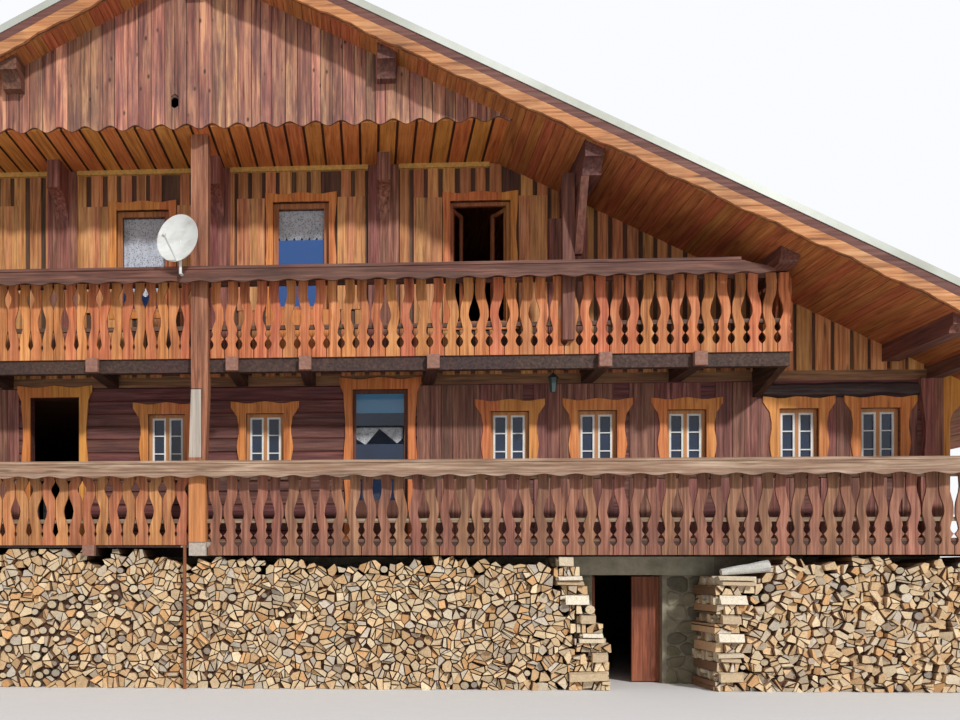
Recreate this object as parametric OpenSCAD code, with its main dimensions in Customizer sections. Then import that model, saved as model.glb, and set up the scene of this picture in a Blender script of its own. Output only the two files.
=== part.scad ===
// Alpine chalet: stone cellar, log storey, boarded attic storey under one wide roof,
// two fretwork balconies across the gable front and firewood stacked under the lower one.
// Millimetres, +Z up, ground at z = 0, gable front towards -Y, ridge along Y at x = 0.

/* [House] */
// Half of the width over the side walls
half_w = 11200; // [10600:50:12000]
// Depth over the front and back walls
house_depth = 13600; // [12000:100:15000]
// Thickness of the rubble cellar walls
stone_t = 600; // [500:10:700]
// Thickness of the log and board walls
wall_t = 200; // [160:5:240]

/* [Storeys] */
// Height of the cellar walls
cellar_h = 2000; // [1950:10:2050]
// Thickness of the two timber floors
floor_t = 180; // [150:5:200]
// Underside of the upper floor above the ground
upper_floor_z = 4700; // [4680:5:4720]
// Height of one log
log_pitch = 220; // [180:5:260]
// Chamfer along the joints of the logs
log_chamfer = 22; // [10:1:35]

/* [Roof] */
// Pitch of the roof in degrees
roof_pitch = 26.5; // [26:0.5:28]
// Height of the soffit over the top of the side walls
soffit_rise = 115; // [100:5:160]
// Upright thickness of the boarded roof
roof_t = 390; // [350:5:430]
// Overhang of the roof at the front, to the end of its boarding
front_overhang = 1955; // [1850:5:2000]
// Overhang of the roof at the back
rear_overhang = 905; // [850:5:1200]
// Overhang of the eaves beyond the side walls
eaves_overhang = 1700; // [1400:10:2000]
// Thickness of the sheet metal roofing
sheet_t = 30; // [20:1:40]
// Height of the metal edge that hangs down at the verge and eaves
sheet_edge_h = 110; // [90:5:140]

/* [Verge boards] */
// Thickness of the fascia under the metal edge
fascia_t = 40; // [30:1:60]
// Thickness of the waney bargeboard
barge_t = 45; // [30:1:60]
// Height of the waney bargeboard
barge_h = 165; // [140:5:190]
// How far the bargeboard hangs below the soffit
barge_drop = 10; // [0:5:40]

/* [Purlins] */
// Width of a purlin
purlin_w = 260; // [220:5:300]
// Depth of the three upper purlins below the soffit
purlin_h = 300; // [250:5:340]
// Depth of the purlins over the ends of the upper balcony
low_purlin_h = 125; // [110:5:130]
// Depth of the outermost purlins
outer_purlin_h = 150; // [120:5:160]
// Distance of the inner purlins from the ridge
purlin_x1 = 2690; // [2650:10:2720]
// Distance of the purlins over the side posts
purlin_x2 = 5550; // [5500:10:5600]
// Distance of the purlins over the ends of the upper balcony, inside its end
purlin_in3 = 190; // [170:5:220]
// Distance of the outermost purlins inside the side walls
purlin_in4 = 750; // [700:10:800]

/* [Gable screen] */
// Distance of the gable boarding in front of the wall
screen_out = 1530; // [1480:10:1600]
// Height of the flat boarded ceiling behind it
ceiling_z = 8170; // [8120:10:8220]
// Thickness of the boards of the screen and its ceiling
screen_t = 30; // [22:1:40]
// Width of one scallop along the lower edge
scallop_pitch = 380; // [300:10:460]
// Depth of the scallops
scallop_depth = 70; // [40:5:100]
// Spacing of the ceiling boards
ceiling_pitch = 272; // [200:1:340]

/* [Balconies] */
// Distance of the balustrades in front of the wall
balcony_out = 1150; // [1100:10:1200]
// Half length of the upper balcony
upper_balcony_x = 8520; // [8400:10:8600]
// Length of the lower balcony past each corner of the house
gallery_w = 930; // [850:10:1000]
// Walking level of the upper balcony above the upper floor
upper_deck_rise = 65; // [50:5:80]
// Walking level of the lower balcony above the middle floor
lower_deck_rise = 40; // [20:5:60]
// Thickness of the deck planks
deck_t = 45; // [35:1:55]
// Depth of the balcony joists
joist_h = 200; // [160:5:220]
// Thickness of the fretwork boards
fret_t = 32; // [22:1:40]
// Spacing of the fretwork boards on the upper balcony, right of the post
upper_right_pitch = 217; // [200:1:240]
// Spacing of the fretwork boards on the upper balcony, left of the post
upper_left_pitch = 172; // [160:1:240]
// Spacing of the fretwork boards on the lower balcony, right of the post
lower_right_pitch = 228; // [200:1:250]
// Spacing of the fretwork boards on the lower balcony, left of the post
lower_left_pitch = 202; // [180:1:250]
// How far the fretwork of the lower balcony hangs below its deck, right of the post
lower_fret_drop = 240; // [220:5:245]
// Height of the upper handrail over its deck
upper_rail_h = 1200; // [1180:5:1240]
// Height of the lower handrail over its deck
lower_rail_h = 1130; // [1100:5:1160]
// Height of the upper handrail's waved front board
upper_board_h = 175; // [150:5:190]
// Height of the lower handrail's waved front board
lower_board_h = 190; // [170:5:210]
// Distance of the upper handrail's front board before the fretwork
upper_rail_out = 380; // [340:5:400]
// Distance of the lower handrail's front board before the fretwork
lower_rail_out = 280; // [250:5:300]

/* [Posts] */
// Width of the centre post
centre_post_w = 250; // [230:5:280]
// How far the centre post stands left of the ridge line
post_shift = 45; // [0:5:60]
// How far the foot of the centre post leans to the left
post_lean = 35; // [0:5:60]
// Width of the side posts
side_post_w = 170; // [150:5:200]
// Distance of the side posts from the ridge line
side_post_x = 5320; // [5300:5:5350]

/* [Windows] */
// Thickness of the carved surrounds
surround_t = 35; // [25:1:45]
// Width of the surrounds beside an opening of the log storey
surround_w = 150; // [120:5:170]
// Width of the surrounds beside an opening of the attic storey
upper_surround_w = 120; // [90:5:130]
// Depth of window frames
frame_t = 70; // [55:1:90]
// Distance of the frames behind the wall's face
frame_set = 60; // [40:1:80]
// Width of frame and sash members
frame_w = 55; // [40:1:70]
// Thickness of the glass
glass_t = 8; // [6:1:12]

/* [Cellar doorway] */
// Left side of the doorway
door_x = 5930; // [5880:10:5980]
// Width of the doorway
door_w = 1080; // [1000:10:1140]
// Height of the doorway
door_h = 1690; // [1650:5:1710]
// Thickness of the plank leaves
leaf_t = 45; // [35:1:55]
// Width of the right leaf
right_leaf_w = 420; // [380:5:450]
// Angle at which the left leaf stands open
left_leaf_open = 78; // [60:1:85]

/* [Firewood] */
// Gap between the stacks and the balcony joists
stack_gap = 25; // [15:5:60]
// Slope of the cross-stacked end of the left stack, per course
stack_step = 55; // [40:5:60]

/* [Hidden] */
$fn = 48;

// Plan: the roof is centred on the origin, so the walls lie off centre by the overhangs
roof_len = front_overhang + house_depth + rear_overhang;
front_y = -roof_len / 2 + front_overhang;
back_y = front_y + house_depth;
eaves_x = half_w + eaves_overhang;
slope = tan(roof_pitch);
verge_y = roof_len / 2;

// Storey levels
middle_z = cellar_h + floor_t;
middle_h = upper_floor_z - middle_z;
upper_z = upper_floor_z + floor_t;

// Underside of the roof; what is seated under it ends this much lower
soffit_ridge_z = upper_floor_z + soffit_rise + slope * half_w;
function soffit(x) = soffit_ridge_z - slope * abs(x);
seat = 0.1;

// Balcony levels and planes
upper_deck_z = upper_z + upper_deck_rise;
lower_deck_z = middle_z + lower_deck_rise;
upper_rail_z = upper_deck_z + upper_rail_h;
lower_rail_z = lower_deck_z + lower_rail_h;
fret_y = front_y - balcony_out;
gallery_x = half_w + gallery_w;
rail_t = 40;
cap_t = 40;
inner_rail = 60;
upper_lap = 105;
lower_lap = 40;
lower_fret_top = lower_rail_z - cap_t - lower_board_h + lower_lap;
upper_fret_z = upper_deck_z - deck_t;
lower_fret_z = lower_deck_z - lower_fret_drop;
left_fret_rise = 155;
left_fret_z = lower_fret_z + left_fret_rise;
arch_t = 60;

// Purlins as [distance from the ridge line, depth, how far the front end stays behind the verge]
purlin_back = 60;
purlin_x3 = upper_balcony_x - purlin_in3;
purlin_set = [[purlin_x1, purlin_h, purlin_back], [purlin_x2, purlin_h, purlin_back],
    [purlin_x3, low_purlin_h, front_overhang - screen_out],
    [half_w - purlin_in4, outer_purlin_h, purlin_back]];
plate_w = 200;

// The upper fretwork ends under its handrail, and clear of the purlins over the balcony's ends
purlin_clear = 20;
purlin3_low_z = soffit(purlin_x3 + purlin_w / 2) - low_purlin_h;
upper_fret_top = min(upper_rail_z - cap_t - upper_board_h + upper_lap, purlin3_low_z - purlin_clear);

// Openings of a wall as [centre, width, sill, head]; places along the log storey are shares of its half width
console_w = 340;
ear_w = 95;
corner_gap = 11;
window_w = 600;
middle_sill_h = 1120;
middle_head_drop = 435;
middle_sill = middle_z + middle_sill_h;
middle_head = upper_floor_z - middle_head_drop;
window_shares = [0.0705, 0.4152, 0.5366, 0.6589, 0.8107];
corner_window_x = half_w - console_w - corner_gap - ear_w - surround_w - window_w / 2;
window_xs = concat([for (k = window_shares) k * half_w], [corner_window_x]);
middle_windows = [for (x = window_xs) for (s = [-1, 1]) [s * x, window_w, middle_sill, middle_head]];
hall_door_w = 800;
hall_door_drop = 150;
glazed_door_w = 870;
glazed_door_drop = 70;
hall_door = [-0.233 * half_w, hall_door_w, middle_z, upper_floor_z - hall_door_drop];
glazed_door = [0.234 * half_w, glazed_door_w, middle_z, upper_floor_z - glazed_door_drop];
middle_openings = concat(middle_windows, [hall_door, glazed_door]);

// Attic openings: the two windows lie between the inner purlins, the casements in the bays beside them
bay = purlin_x2 - purlin_x1;
upper_sill_h = 1020;
upper_sill = upper_z + upper_sill_h;
left_window_w = 850;
left_window_drop = 630;
right_window_w = 890;
right_window_drop = 550;
upper_windows = [[-0.4387 * purlin_x1, left_window_w, upper_sill, ceiling_z - left_window_drop],
    [0.5074 * purlin_x1, right_window_w, upper_sill, ceiling_z - right_window_drop]];
casement_x = purlin_x1 + 0.525 * bay;
casement_sill_h = 770;
casement_drop = 590;
casement_windows = [for (s = [-1, 1])
    [s * casement_x, 0.329 * bay, upper_z + casement_sill_h, ceiling_z - casement_drop]];
upper_openings = concat(upper_windows, casement_windows);
side_windows = [for (k = [-0.265, 0, 0.265]) [k * house_depth, window_w, middle_sill, middle_head]];
back_middle_windows = [for (k = [-0.66, -0.33, 0, 0.33, 0.66])
    [k * half_w, window_w, middle_sill, middle_head]];
back_window_w = 800;
back_window_drop = 870;
back_upper_windows = [for (s = [-1, 1])
    [s * 0.23 * half_w, back_window_w, upper_sill, ceiling_z - back_window_drop]];

// Joists of the balconies, as distances from the ridge line
upper_joists_right = [430, 1510, 3380, 5850, 7200];
upper_joists_left = [1660, 3380, 5850, 7200];
lower_joists = [1710, 3600, 5500, 7400, 9300, 11000];
joist_w = 180;
lower_joist_z = lower_deck_z - deck_t - joist_h;
stack_h = lower_joist_z - stack_gap;

// Points of a waved line from x0 to x1 that starts at height z + depth / 2
wave_steps = 8;
function wave(x0, x1, z, depth, pitch) = let (n = max(1, round((x1 - x0) / pitch)) * wave_steps)
    [for (i = [0:n]) [x0 + (x1 - x0) * i / n, z + depth / 2 * cos(360 * i / wave_steps)]];
function reversed(p) = [for (i = [len(p) - 1:-1:0]) p[i]];

// Upright plate in the XZ plane: the outline's front face lies at y, its thickness runs to +Y
module plate_xz(y, t) {
    translate([0, y + t, 0]) rotate([90, 0, 0]) linear_extrude(t) children();
}

// Upright plate in the YZ plane: the outline's low face lies at x, its thickness runs to +X
module plate_yz(x, t) {
    translate([x, 0, 0]) rotate([90, 0, 90]) linear_extrude(t) children();
}

module box(x0, x1, y0, y1, z0, z1) {
    translate([x0, y0, z0]) cube([x1 - x0, y1 - y0, z1 - z0]);
}

module both_sides() {
    children();
    mirror([1, 0, 0]) children();
}

module opening_2d(o, grow = 0) {
    translate([o[0] - o[1] / 2 - grow, o[2] - grow]) square([o[1] + 2 * grow, o[3] - o[2] + 2 * grow]);
}

// Cellar
module cellar_front_2d(x0, x1) {
    translate([x0, 0]) square([x1 - x0, cellar_h]);
}

lintel_left = 430;
lintel_right = 790;

module lintel_2d() {
    lintel_w = lintel_left + door_w + lintel_right;
    translate([door_x - lintel_left, door_h]) square([lintel_w, cellar_h - door_h]);
}

module cellar_wall_front_left() {
    color("dimgray") plate_xz(front_y, stone_t) difference() {
        cellar_front_2d(-half_w, door_x);
        lintel_2d();
    }
}

module cellar_wall_front_right() {
    color("dimgray") plate_xz(front_y, stone_t) difference() {
        cellar_front_2d(door_x + door_w, half_w);
        lintel_2d();
    }
}

module cellar_lintel() {
    color("darkgray") plate_xz(front_y, stone_t) lintel_2d();
}

module cellar_side(x) {
    color("dimgray") box(x, x + stone_t, front_y + stone_t, back_y - stone_t, 0, cellar_h);
}

module cellar_wall_left() cellar_side(-half_w);

module cellar_wall_right() cellar_side(half_w - stone_t);

module cellar_wall_back() {
    color("dimgray") box(-half_w, half_w, back_y - stone_t, back_y, 0, cellar_h);
}

// Cellar door: two plank leaves on pintles, hung on the inner side of the doorway
leaf_gap = 12;
leaf_z = 20;
leaf_set = 150;
hinge_in = 26;
hinge_back = 16;
pin_r = 8;
pin_clear = 0.3;
knuckle_r = 16;
knuckle_h = 60;
strap_t = 6;
strap_share = 0.7;
pin_rise = 6;
hinge_zs = [260, 1340];
hinge_y = front_y + leaf_set + leaf_t + hinge_back;
left_hinge_x = door_x + hinge_in;
right_hinge_x = door_x + door_w - hinge_in;
left_leaf_w = door_w - 2 * (hinge_in - hinge_back) - leaf_gap - right_leaf_w;

// A leaf that hangs at the origin and reaches towards +X
module leaf(w) {
    color("saddlebrown") difference() {
        union() {
            box(-hinge_back, w - hinge_back, -hinge_back - leaf_t, -hinge_back, leaf_z,
                door_h - 2 * leaf_gap);
            for (z = hinge_zs) {
                translate([0, 0, z]) cylinder(r = knuckle_r, h = knuckle_h);
                box(0, w * strap_share, -hinge_back, -hinge_back + strap_t, z, z + knuckle_h);
            }
        }
        for (z = hinge_zs) translate([0, 0, z - 1]) cylinder(r = pin_r + pin_clear, h = knuckle_h + 2);
    }
}

module cellar_door_left() {
    translate([left_hinge_x, hinge_y, 0]) rotate([0, 0, left_leaf_open]) leaf(left_leaf_w);
}

module cellar_door_right() {
    translate([right_hinge_x, hinge_y, 0]) mirror([1, 0, 0]) leaf(right_leaf_w);
}

arm_h = 16;

module pintle(x, side) {
    for (z = hinge_zs) {
        translate([x, hinge_y, z - pin_clear - arm_h]) cylinder(r = pin_r, h = arm_h + knuckle_h + pin_rise);
        box(min(x, x - side * hinge_in), max(x, x - side * hinge_in), hinge_y - pin_r, hinge_y + pin_r,
            z - pin_clear - arm_h, z - pin_clear);
    }
}

module door_pintles() {
    color("black") {
        pintle(left_hinge_x, 1);
        pintle(right_hinge_x, -1);
    }
}

// Floors: planks that reach to the faces of the gable walls; the upper floor lies between the wall plates
module floor_slab(half, z) {
    color("peru") box(-half, half, front_y, back_y, z, z + floor_t);
}

module middle_floor() floor_slab(half_w, cellar_h);

module upper_floor() floor_slab(half_w - plate_w, upper_floor_z);

// Log walls: one profile with chamfered joints, run along the wall
log_n = ceil(middle_h / log_pitch);
function log_face(n, h) = [for (i = [0:n - 1]) let (z0 = i * h, z1 = (i + 1) * h)
    each [[log_chamfer, z0], [0, z0 + log_chamfer], [0, z1 - log_chamfer], [log_chamfer, z1]]];

module log_profile() {
    polygon(concat(log_face(log_n, middle_h / log_n), [[wall_t, middle_h], [wall_t, 0]]));
}

module log_wall(length) {
    rotate([90, 0, 90]) linear_extrude(length) log_profile();
}

// The log zone in the middle of the front, between two zones with upright boards
log_zone_x = 3450;

module middle_wall_front() {
    color("sienna") difference() {
        union() {
            translate([-log_zone_x, front_y, middle_z]) log_wall(2 * log_zone_x);
            box(-half_w, -log_zone_x, front_y, front_y + wall_t, middle_z, upper_floor_z);
            box(log_zone_x, half_w, front_y, front_y + wall_t, middle_z, upper_floor_z);
        }
        for (o = middle_openings) plate_xz(front_y - 1, wall_t + 2) opening_2d(o);
    }
}

module middle_wall_back() {
    color("sienna") difference() {
        translate([half_w, back_y, middle_z]) rotate([0, 0, 180]) log_wall(2 * half_w);
        for (o = back_middle_windows) plate_xz(back_y - wall_t - 1, wall_t + 2) opening_2d(o);
    }
}

module middle_side_wall() {
    color("sienna") difference() {
        translate([half_w, front_y + wall_t, middle_z]) rotate([0, 0, 90])
            log_wall(house_depth - 2 * wall_t);
        for (o = side_windows)
            plate_yz(half_w - wall_t - 1, wall_t + 2) translate([(front_y + back_y) / 2, 0]) opening_2d(o);
    }
}

module middle_wall_right() middle_side_wall();

module middle_wall_left() mirror([1, 0, 0]) middle_side_wall();

// Height of the underside of a purlin of the depth h
function purlin_z(x, h = purlin_h) = soffit(x + purlin_w / 2) - h;

// Section between x0 and x1 from the height z up to the roof; rise is 0 for a wood and more for its cut-out
module under_roof_2d(x0, x1, z, rise = -seat) {
    polygon([[x0, z], [x1, z], [x1, soffit(x1) + rise], [x0, soffit(x0) + rise]]);
}

module purlin_2d(x, h, rise = -seat) {
    under_roof_2d(x - purlin_w / 2, x + purlin_w / 2, purlin_z(x, h), rise);
}

module ridge_purlin_2d(rise = -seat) {
    w = purlin_w / 2;
    both_sides() under_roof_2d(0, w, purlin_z(0), rise);
}

module wall_plate_2d(rise = -seat) {
    under_roof_2d(half_w - plate_w, half_w, upper_floor_z, rise);
}

cut_rise = 50;

module all_purlins_2d() {
    ridge_purlin_2d(cut_rise);
    both_sides() {
        for (p = purlin_set) purlin_2d(p[0], p[1], cut_rise);
        wall_plate_2d(cut_rise);
    }
}

module upper_gable_2d(openings) {
    low_x = min(half_w, (soffit_ridge_z - seat - upper_z) / slope);
    difference() {
        both_sides() under_roof_2d(0, low_x, upper_z);
        all_purlins_2d();
        for (o = openings) opening_2d(o);
    }
}

module upper_wall_front() {
    color("burlywood") plate_xz(front_y, wall_t) upper_gable_2d(upper_openings);
}

module upper_wall_back() {
    color("burlywood") plate_xz(back_y - wall_t, wall_t) upper_gable_2d(back_upper_windows);
}

// Roof
module roof_half() {
    color("chocolate") plate_xz(-verge_y, roof_len) polygon([[0, soffit_ridge_z], [eaves_x, soffit(eaves_x)],
        [eaves_x, soffit(eaves_x) + roof_t], [0, soffit_ridge_z + roof_t]]);
}

module roof_right() roof_half();

module roof_left() mirror([1, 0, 0]) roof_half();

// Band that follows both slopes, from height low to height high over the soffit
module slope_band_2d(low, high, reach) {
    polygon([[-reach, soffit(reach) + low], [0, soffit_ridge_z + low], [reach, soffit(reach) + low],
        [reach, soffit(reach) + high], [0, soffit_ridge_z + high], [-reach, soffit(reach) + high]]);
}

edge_t = 15;
sheet_top = roof_t + sheet_t;
sheet_low = sheet_top - sheet_edge_h;
sheet_reach = eaves_x + fascia_t + edge_t;
ridge_cap_w = 180;
ridge_cap_t = 25;

module roof_covering() {
    edge_x = sheet_reach - edge_t;
    edge_z = soffit(sheet_reach);
    color("lightgray") {
        plate_xz(-verge_y - fascia_t - edge_t, roof_len + 2 * (fascia_t + edge_t)) {
            slope_band_2d(roof_t + seat, sheet_top, sheet_reach);
            slope_band_2d(sheet_top - edge_t, sheet_top + ridge_cap_t, ridge_cap_w);
        }
        for (y = [-verge_y - fascia_t - edge_t, verge_y + fascia_t])
            plate_xz(y, edge_t) slope_band_2d(sheet_low, sheet_top, sheet_reach);
        both_sides() plate_xz(-verge_y - fascia_t, roof_len + 2 * fascia_t) polygon([
            [edge_x, edge_z + sheet_low], [sheet_reach, edge_z + sheet_low],
            [sheet_reach, edge_z + sheet_top - edge_t], [edge_x, edge_z + sheet_top - edge_t]]);
    }
}

// Waney bargeboard: both edges wander like the edge of the tree
waves = [[16, 0.37, 40], [9, 1.13, 95]];
function waney(x, k) = waves[0][0] * sin(x * waves[0][1] + waves[0][2] * k)
    + waves[1][0] * sin(x * waves[1][1] + waves[1][2] * k);
top_wave = 0.25;
barge_step = 110;
barge_n = floor(eaves_x / barge_step);
function barge_edge(base, k, a) = [for (i = [0:barge_n]) let (x = eaves_x * i / barge_n)
    [x, soffit(x) + base + a * waney(x, k)]];

module bargeboard_2d() {
    top_edge = barge_edge(barge_h - barge_drop, 2, top_wave);
    polygon(concat(barge_edge(-barge_drop, 1, 1), reversed(top_edge)));
}

fascia_low = 20;

module verge_boards() {
    color("peru") for (side = [-1, 1]) {
        plate_xz(side < 0 ? -verge_y - fascia_t : verge_y, fascia_t)
            slope_band_2d(fascia_low, sheet_low, eaves_x);
        plate_xz(side < 0 ? -verge_y - fascia_t - barge_t : verge_y + fascia_t, barge_t)
            both_sides() bargeboard_2d();
    }
}

// Purlins and wall plates, with coved front ends
cove_r = 190;

// A purlin at x of the depth h, whose section is given as a child, set back behind the verge by back
module purlin(x, h, back) {
    r = min(cove_r, h * 2 / 3);
    difference() {
        plate_xz(-verge_y + back, roof_len - back - purlin_back) children();
        translate([x, -verge_y + back, purlin_z(x, h)]) rotate([0, 90, 0])
            cylinder(r = r, h = 2 * purlin_w, center = true);
    }
}

module purlins() {
    color("sienna") {
        purlin(0, purlin_h, purlin_back) ridge_purlin_2d();
        both_sides() {
            for (p = purlin_set) purlin(p[0], p[1], p[2]) purlin_2d(p[0], p[1]);
            plate_xz(-verge_y + purlin_back, roof_len - 2 * purlin_back) wall_plate_2d();
        }
    }
}

// Gable screen and its flat ceiling
screen_y = front_y - screen_out;
function reach_under(z) = (soffit_ridge_z - seat - z) / slope;
screen_x = reach_under(ceiling_z);

// Opening for the birds in the screen, as [x, height over the ceiling, width, height]
hole = [-355, 370, 110, 220];

module hole_2d() {
    translate([hole[0] - hole[2] / 2, ceiling_z + hole[1] - hole[3] / 2]) square([hole[2], hole[3] / 2]);
    translate([hole[0], ceiling_z + hole[1]]) circle(d = hole[2]);
}

module gable_boarding() {
    color("rosybrown") plate_xz(screen_y, screen_t) difference() {
        polygon(concat(wave(-screen_x, screen_x, ceiling_z, -scallop_depth, scallop_pitch),
            [[screen_x, ceiling_z], [0, soffit_ridge_z - seat], [-screen_x, ceiling_z]]));
        ridge_purlin_2d(cut_rise);
        both_sides() purlin_2d(purlin_x1, purlin_h, cut_rise);
        hole_2d();
    }
}

ledger = 70;
groove = [36, 20];
ceiling_n = floor(screen_x / ceiling_pitch);

module gable_ceiling() {
    top_x = reach_under(ceiling_z + screen_t);
    color("chocolate") {
        plate_xz(screen_y + screen_t, screen_out - screen_t) difference() {
            polygon([[-screen_x, ceiling_z], [screen_x, ceiling_z], [top_x, ceiling_z + screen_t],
                [-top_x, ceiling_z + screen_t]]);
            for (i = [-ceiling_n:ceiling_n - 1])
                translate([(i + 0.5) * ceiling_pitch - groove[0] / 2, ceiling_z - 1]) square(groove);
        }
        difference() {
            box(-screen_x + 2 * ledger, screen_x - 2 * ledger, front_y - ledger, front_y, ceiling_z - ledger,
                ceiling_z);
            for (p = attic_panels) box(p[0] - p[1] / 2, p[0] + p[1] / 2, front_y - 2 * ledger, front_y + 1,
                ceiling_z - 2 * ledger, ceiling_z);
        }
    }
}

// Consoles: flush boards in front of the ends of the inner walls, with coved brackets under the flat ceiling
panel_t = 45;
panel_w = 480;
side_panel_w = 600;
middle_panel_w = 400;
middle_panel_x = 40;
panel_shares = [-0.92, 0.993];
attic_panels = [[middle_panel_x, middle_panel_w],
    for (k = panel_shares) [k * purlin_x1, panel_w]];
bracket_w = 200;
bracket_out = 520;
bracket_nose = 430;
bracket_h = 900;
bracket_n = 6;

module console_panel(x, w, top) {
    box(x - w / 2, x + w / 2, front_y - panel_t, front_y, upper_deck_z, top);
}

module ceiling_bracket(x) {
    run = bracket_out - panel_t;
    rise = bracket_h - bracket_nose;
    cove = [for (i = [0:bracket_n]) let (a = 90 * i / bracket_n)
        [front_y - bracket_out + run * sin(a), ceiling_z - bracket_nose - rise * (1 - cos(a))]];
    plate_yz(x - bracket_w / 2, bracket_w)
        polygon(concat([[front_y, ceiling_z], [front_y - bracket_out, ceiling_z]], cove,
            [[front_y, ceiling_z - bracket_h]]));
}

// Waney board at a corner of the log storey
corner_t = 100;
corner_wave = 80;
corner_waves = 1.5;
corner_n = 18;

module corner_console() {
    h = upper_floor_z - lower_deck_z;
    edge = [for (i = [0:corner_n]) let (a = 360 * corner_waves * i / corner_n)
        [half_w - console_w + corner_wave * (1 + cos(a)) / 2, lower_deck_z + h * i / corner_n]];
    plate_xz(front_y - corner_t, corner_t)
        polygon(concat([[half_w, upper_floor_z], [half_w, lower_deck_z]], edge));
}

module wall_consoles() {
    color("saddlebrown") {
        for (p = attic_panels) {
            console_panel(p[0], p[1], ceiling_z);
            ceiling_bracket(p[0]);
        }
        both_sides() {
            console_panel(purlin_x2, side_panel_w, purlin_z(purlin_x2));
            corner_console();
        }
    }
}

// Posts: the centre post leans to the left between the balconies
post_half = centre_post_w / 2;
post_out = 120;
post_y = fret_y - post_out;
post_top_z = upper_floor_z - 300;
post_low_z = lower_rail_z;
post_foot_z = lower_deck_z - deck_t;
post_foot_x = -post_shift - post_lean;

module centre_post() {
    low_left = post_foot_x - post_half;
    low_right = post_foot_x + post_half;
    left = -post_shift - post_half;
    right = -post_shift + post_half;
    color("rosybrown") plate_xz(post_y, centre_post_w) polygon([
        [low_left, post_foot_z], [low_right, post_foot_z], [low_right, post_low_z], [right, post_top_z],
        [right, ceiling_z], [left, ceiling_z], [left, post_top_z], [low_left, post_low_z]]);
}

module post_notch(x, z0, z1) {
    box(x - post_half, x + post_half, post_y, post_y + centre_post_w, z0 - 1, z1 + 1);
}

// Side posts, bolted to the front of the upper fretwork, with braces beside them up to the purlins
side_post_d = 110;
side_foot_z = upper_deck_z + 140;
side_post_rise = 220;
brace_w = 110;
brace_run = 440;
brace_rise = 950;
brace_d = 170;

module side_post() {
    top = purlin_z(purlin_x2);
    y = fret_y - side_post_d;
    end_y = y - brace_run;
    box(side_post_x - side_post_w / 2, side_post_x + side_post_w / 2, y, fret_y, side_foot_z,
        top + side_post_rise);
    foot = top - brace_rise;
    plate_yz(side_post_x + side_post_w / 2, brace_w) polygon([[y, foot], [fret_y, foot],
        [fret_y, foot + brace_d], [end_y + brace_d, top], [end_y, top]]);
}

module side_posts() {
    color("peru") both_sides() side_post();
}

// Balcony decks
module deck(half, z, post_x) {
    difference() {
        box(-half + fret_t, half - fret_t, fret_y + fret_t, front_y, z - deck_t, z);
        post_notch(post_x, z - deck_t, z);
    }
}

module upper_balcony_deck() {
    color("sienna") deck(upper_balcony_x, upper_deck_z, -post_shift);
}

module lower_balcony_deck() {
    color("sienna") deck(gallery_x, lower_deck_z, post_foot_x);
}

// Edge beam under the deck planks, with joists that reach back to the wall
edge_w = 110;
lower_edge_h = 75;
joist_out = 100;

module joist(x, w, y0, low, top) {
    box(x - w / 2, x + w / 2, y0, front_y, low, top);
}

module joist_frame(half, top, low, edge_low) {
    box(-half + fret_t, half - fret_t, fret_y + fret_t, fret_y + fret_t + edge_w, edge_low, top);
    both_sides() joist(half - fret_t - edge_w / 2, edge_w, fret_y + fret_t, low, top);
}

bracket_drop = 260;
bracket_toe = 0.8;

module upper_balcony_joists() {
    top = upper_fret_z;
    low = top - joist_h;
    end_x = upper_balcony_x - fret_t - edge_w;
    color("saddlebrown") {
        difference() {
            joist_frame(upper_balcony_x, top, low, low);
            post_notch(-post_shift, low, top);
        }
        for (x = upper_joists_right) joist(x, joist_w, fret_y - joist_out, low, top);
        for (x = upper_joists_left) joist(-x, joist_w, fret_y - joist_out, low, top);
        both_sides() plate_yz(end_x, edge_w) polygon([[front_y, low], [front_y, low - bracket_drop],
            [front_y - bracket_drop, low - bracket_drop * bracket_toe], [fret_y + edge_w + fret_t, low]]);
    }
}

module lower_balcony_joists() {
    top = post_foot_z;
    low = lower_joist_z;
    color("saddlebrown") {
        joist_frame(gallery_x, top, low, top - lower_edge_h);
        box(-gallery_x + fret_t, gallery_x - fret_t, front_y - edge_w, front_y, low, top);
        joist(post_foot_x, centre_post_w, fret_y - joist_out, low, top);
        for (x = lower_joists) {
            joist(x, joist_w, fret_y + fret_t, low, top);
            joist(-x, joist_w, fret_y + fret_t, low, top);
            joist(-x, joist_w, fret_y - joist_out, low, min(top, left_fret_z));
        }
    }
}

// Fretwork: half gaps beside a board as [height, half gap], on its lens side and on its tulip side
right_ref = [228, 1130];
bulb_gap = [[0, 6], [118, 7], [150, 38], [180, 54], [212, 56], [245, 40], [282, 9]];
right_lens = [[325, 44], [358, 48], [400, 31], [590, 90], [900, 14], [1020, 12], [1130, 26]];
right_tulip = [[320, 46], [355, 60], [400, 52], [560, 12], [640, 13], [930, 69], [1130, 55]];
left_ref = [202, 990];
left_low = [[0, 4], [110, 4], [195, 46], [400, 6], [640, 6], [800, 68], [930, 8], [960, 22], [990, 12]];
left_high = [[0, 4], [110, 4], [160, 22], [205, 6], [490, 76], [730, 6], [870, 6], [930, 32], [990, 14]];

// Points that ease from knot to knot wherever the gap changes much
ease_from = 40;
ease_n = 4;
function ease_between(a, b, t) = [a[0] + (b[0] - a[0]) * t, a[1] + (b[1] - a[1]) * (1 - cos(180 * t)) / 2];
function ease_steps(a, b) = abs(b[1] - a[1]) > ease_from ? ease_n : 1;
function eased(k) = concat([for (i = [0:len(k) - 2]) let (n = ease_steps(k[i], k[i + 1]))
    each [for (j = [0:n - 1]) ease_between(k[i], k[i + 1], j / n)]], [k[len(k) - 1]]);

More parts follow.
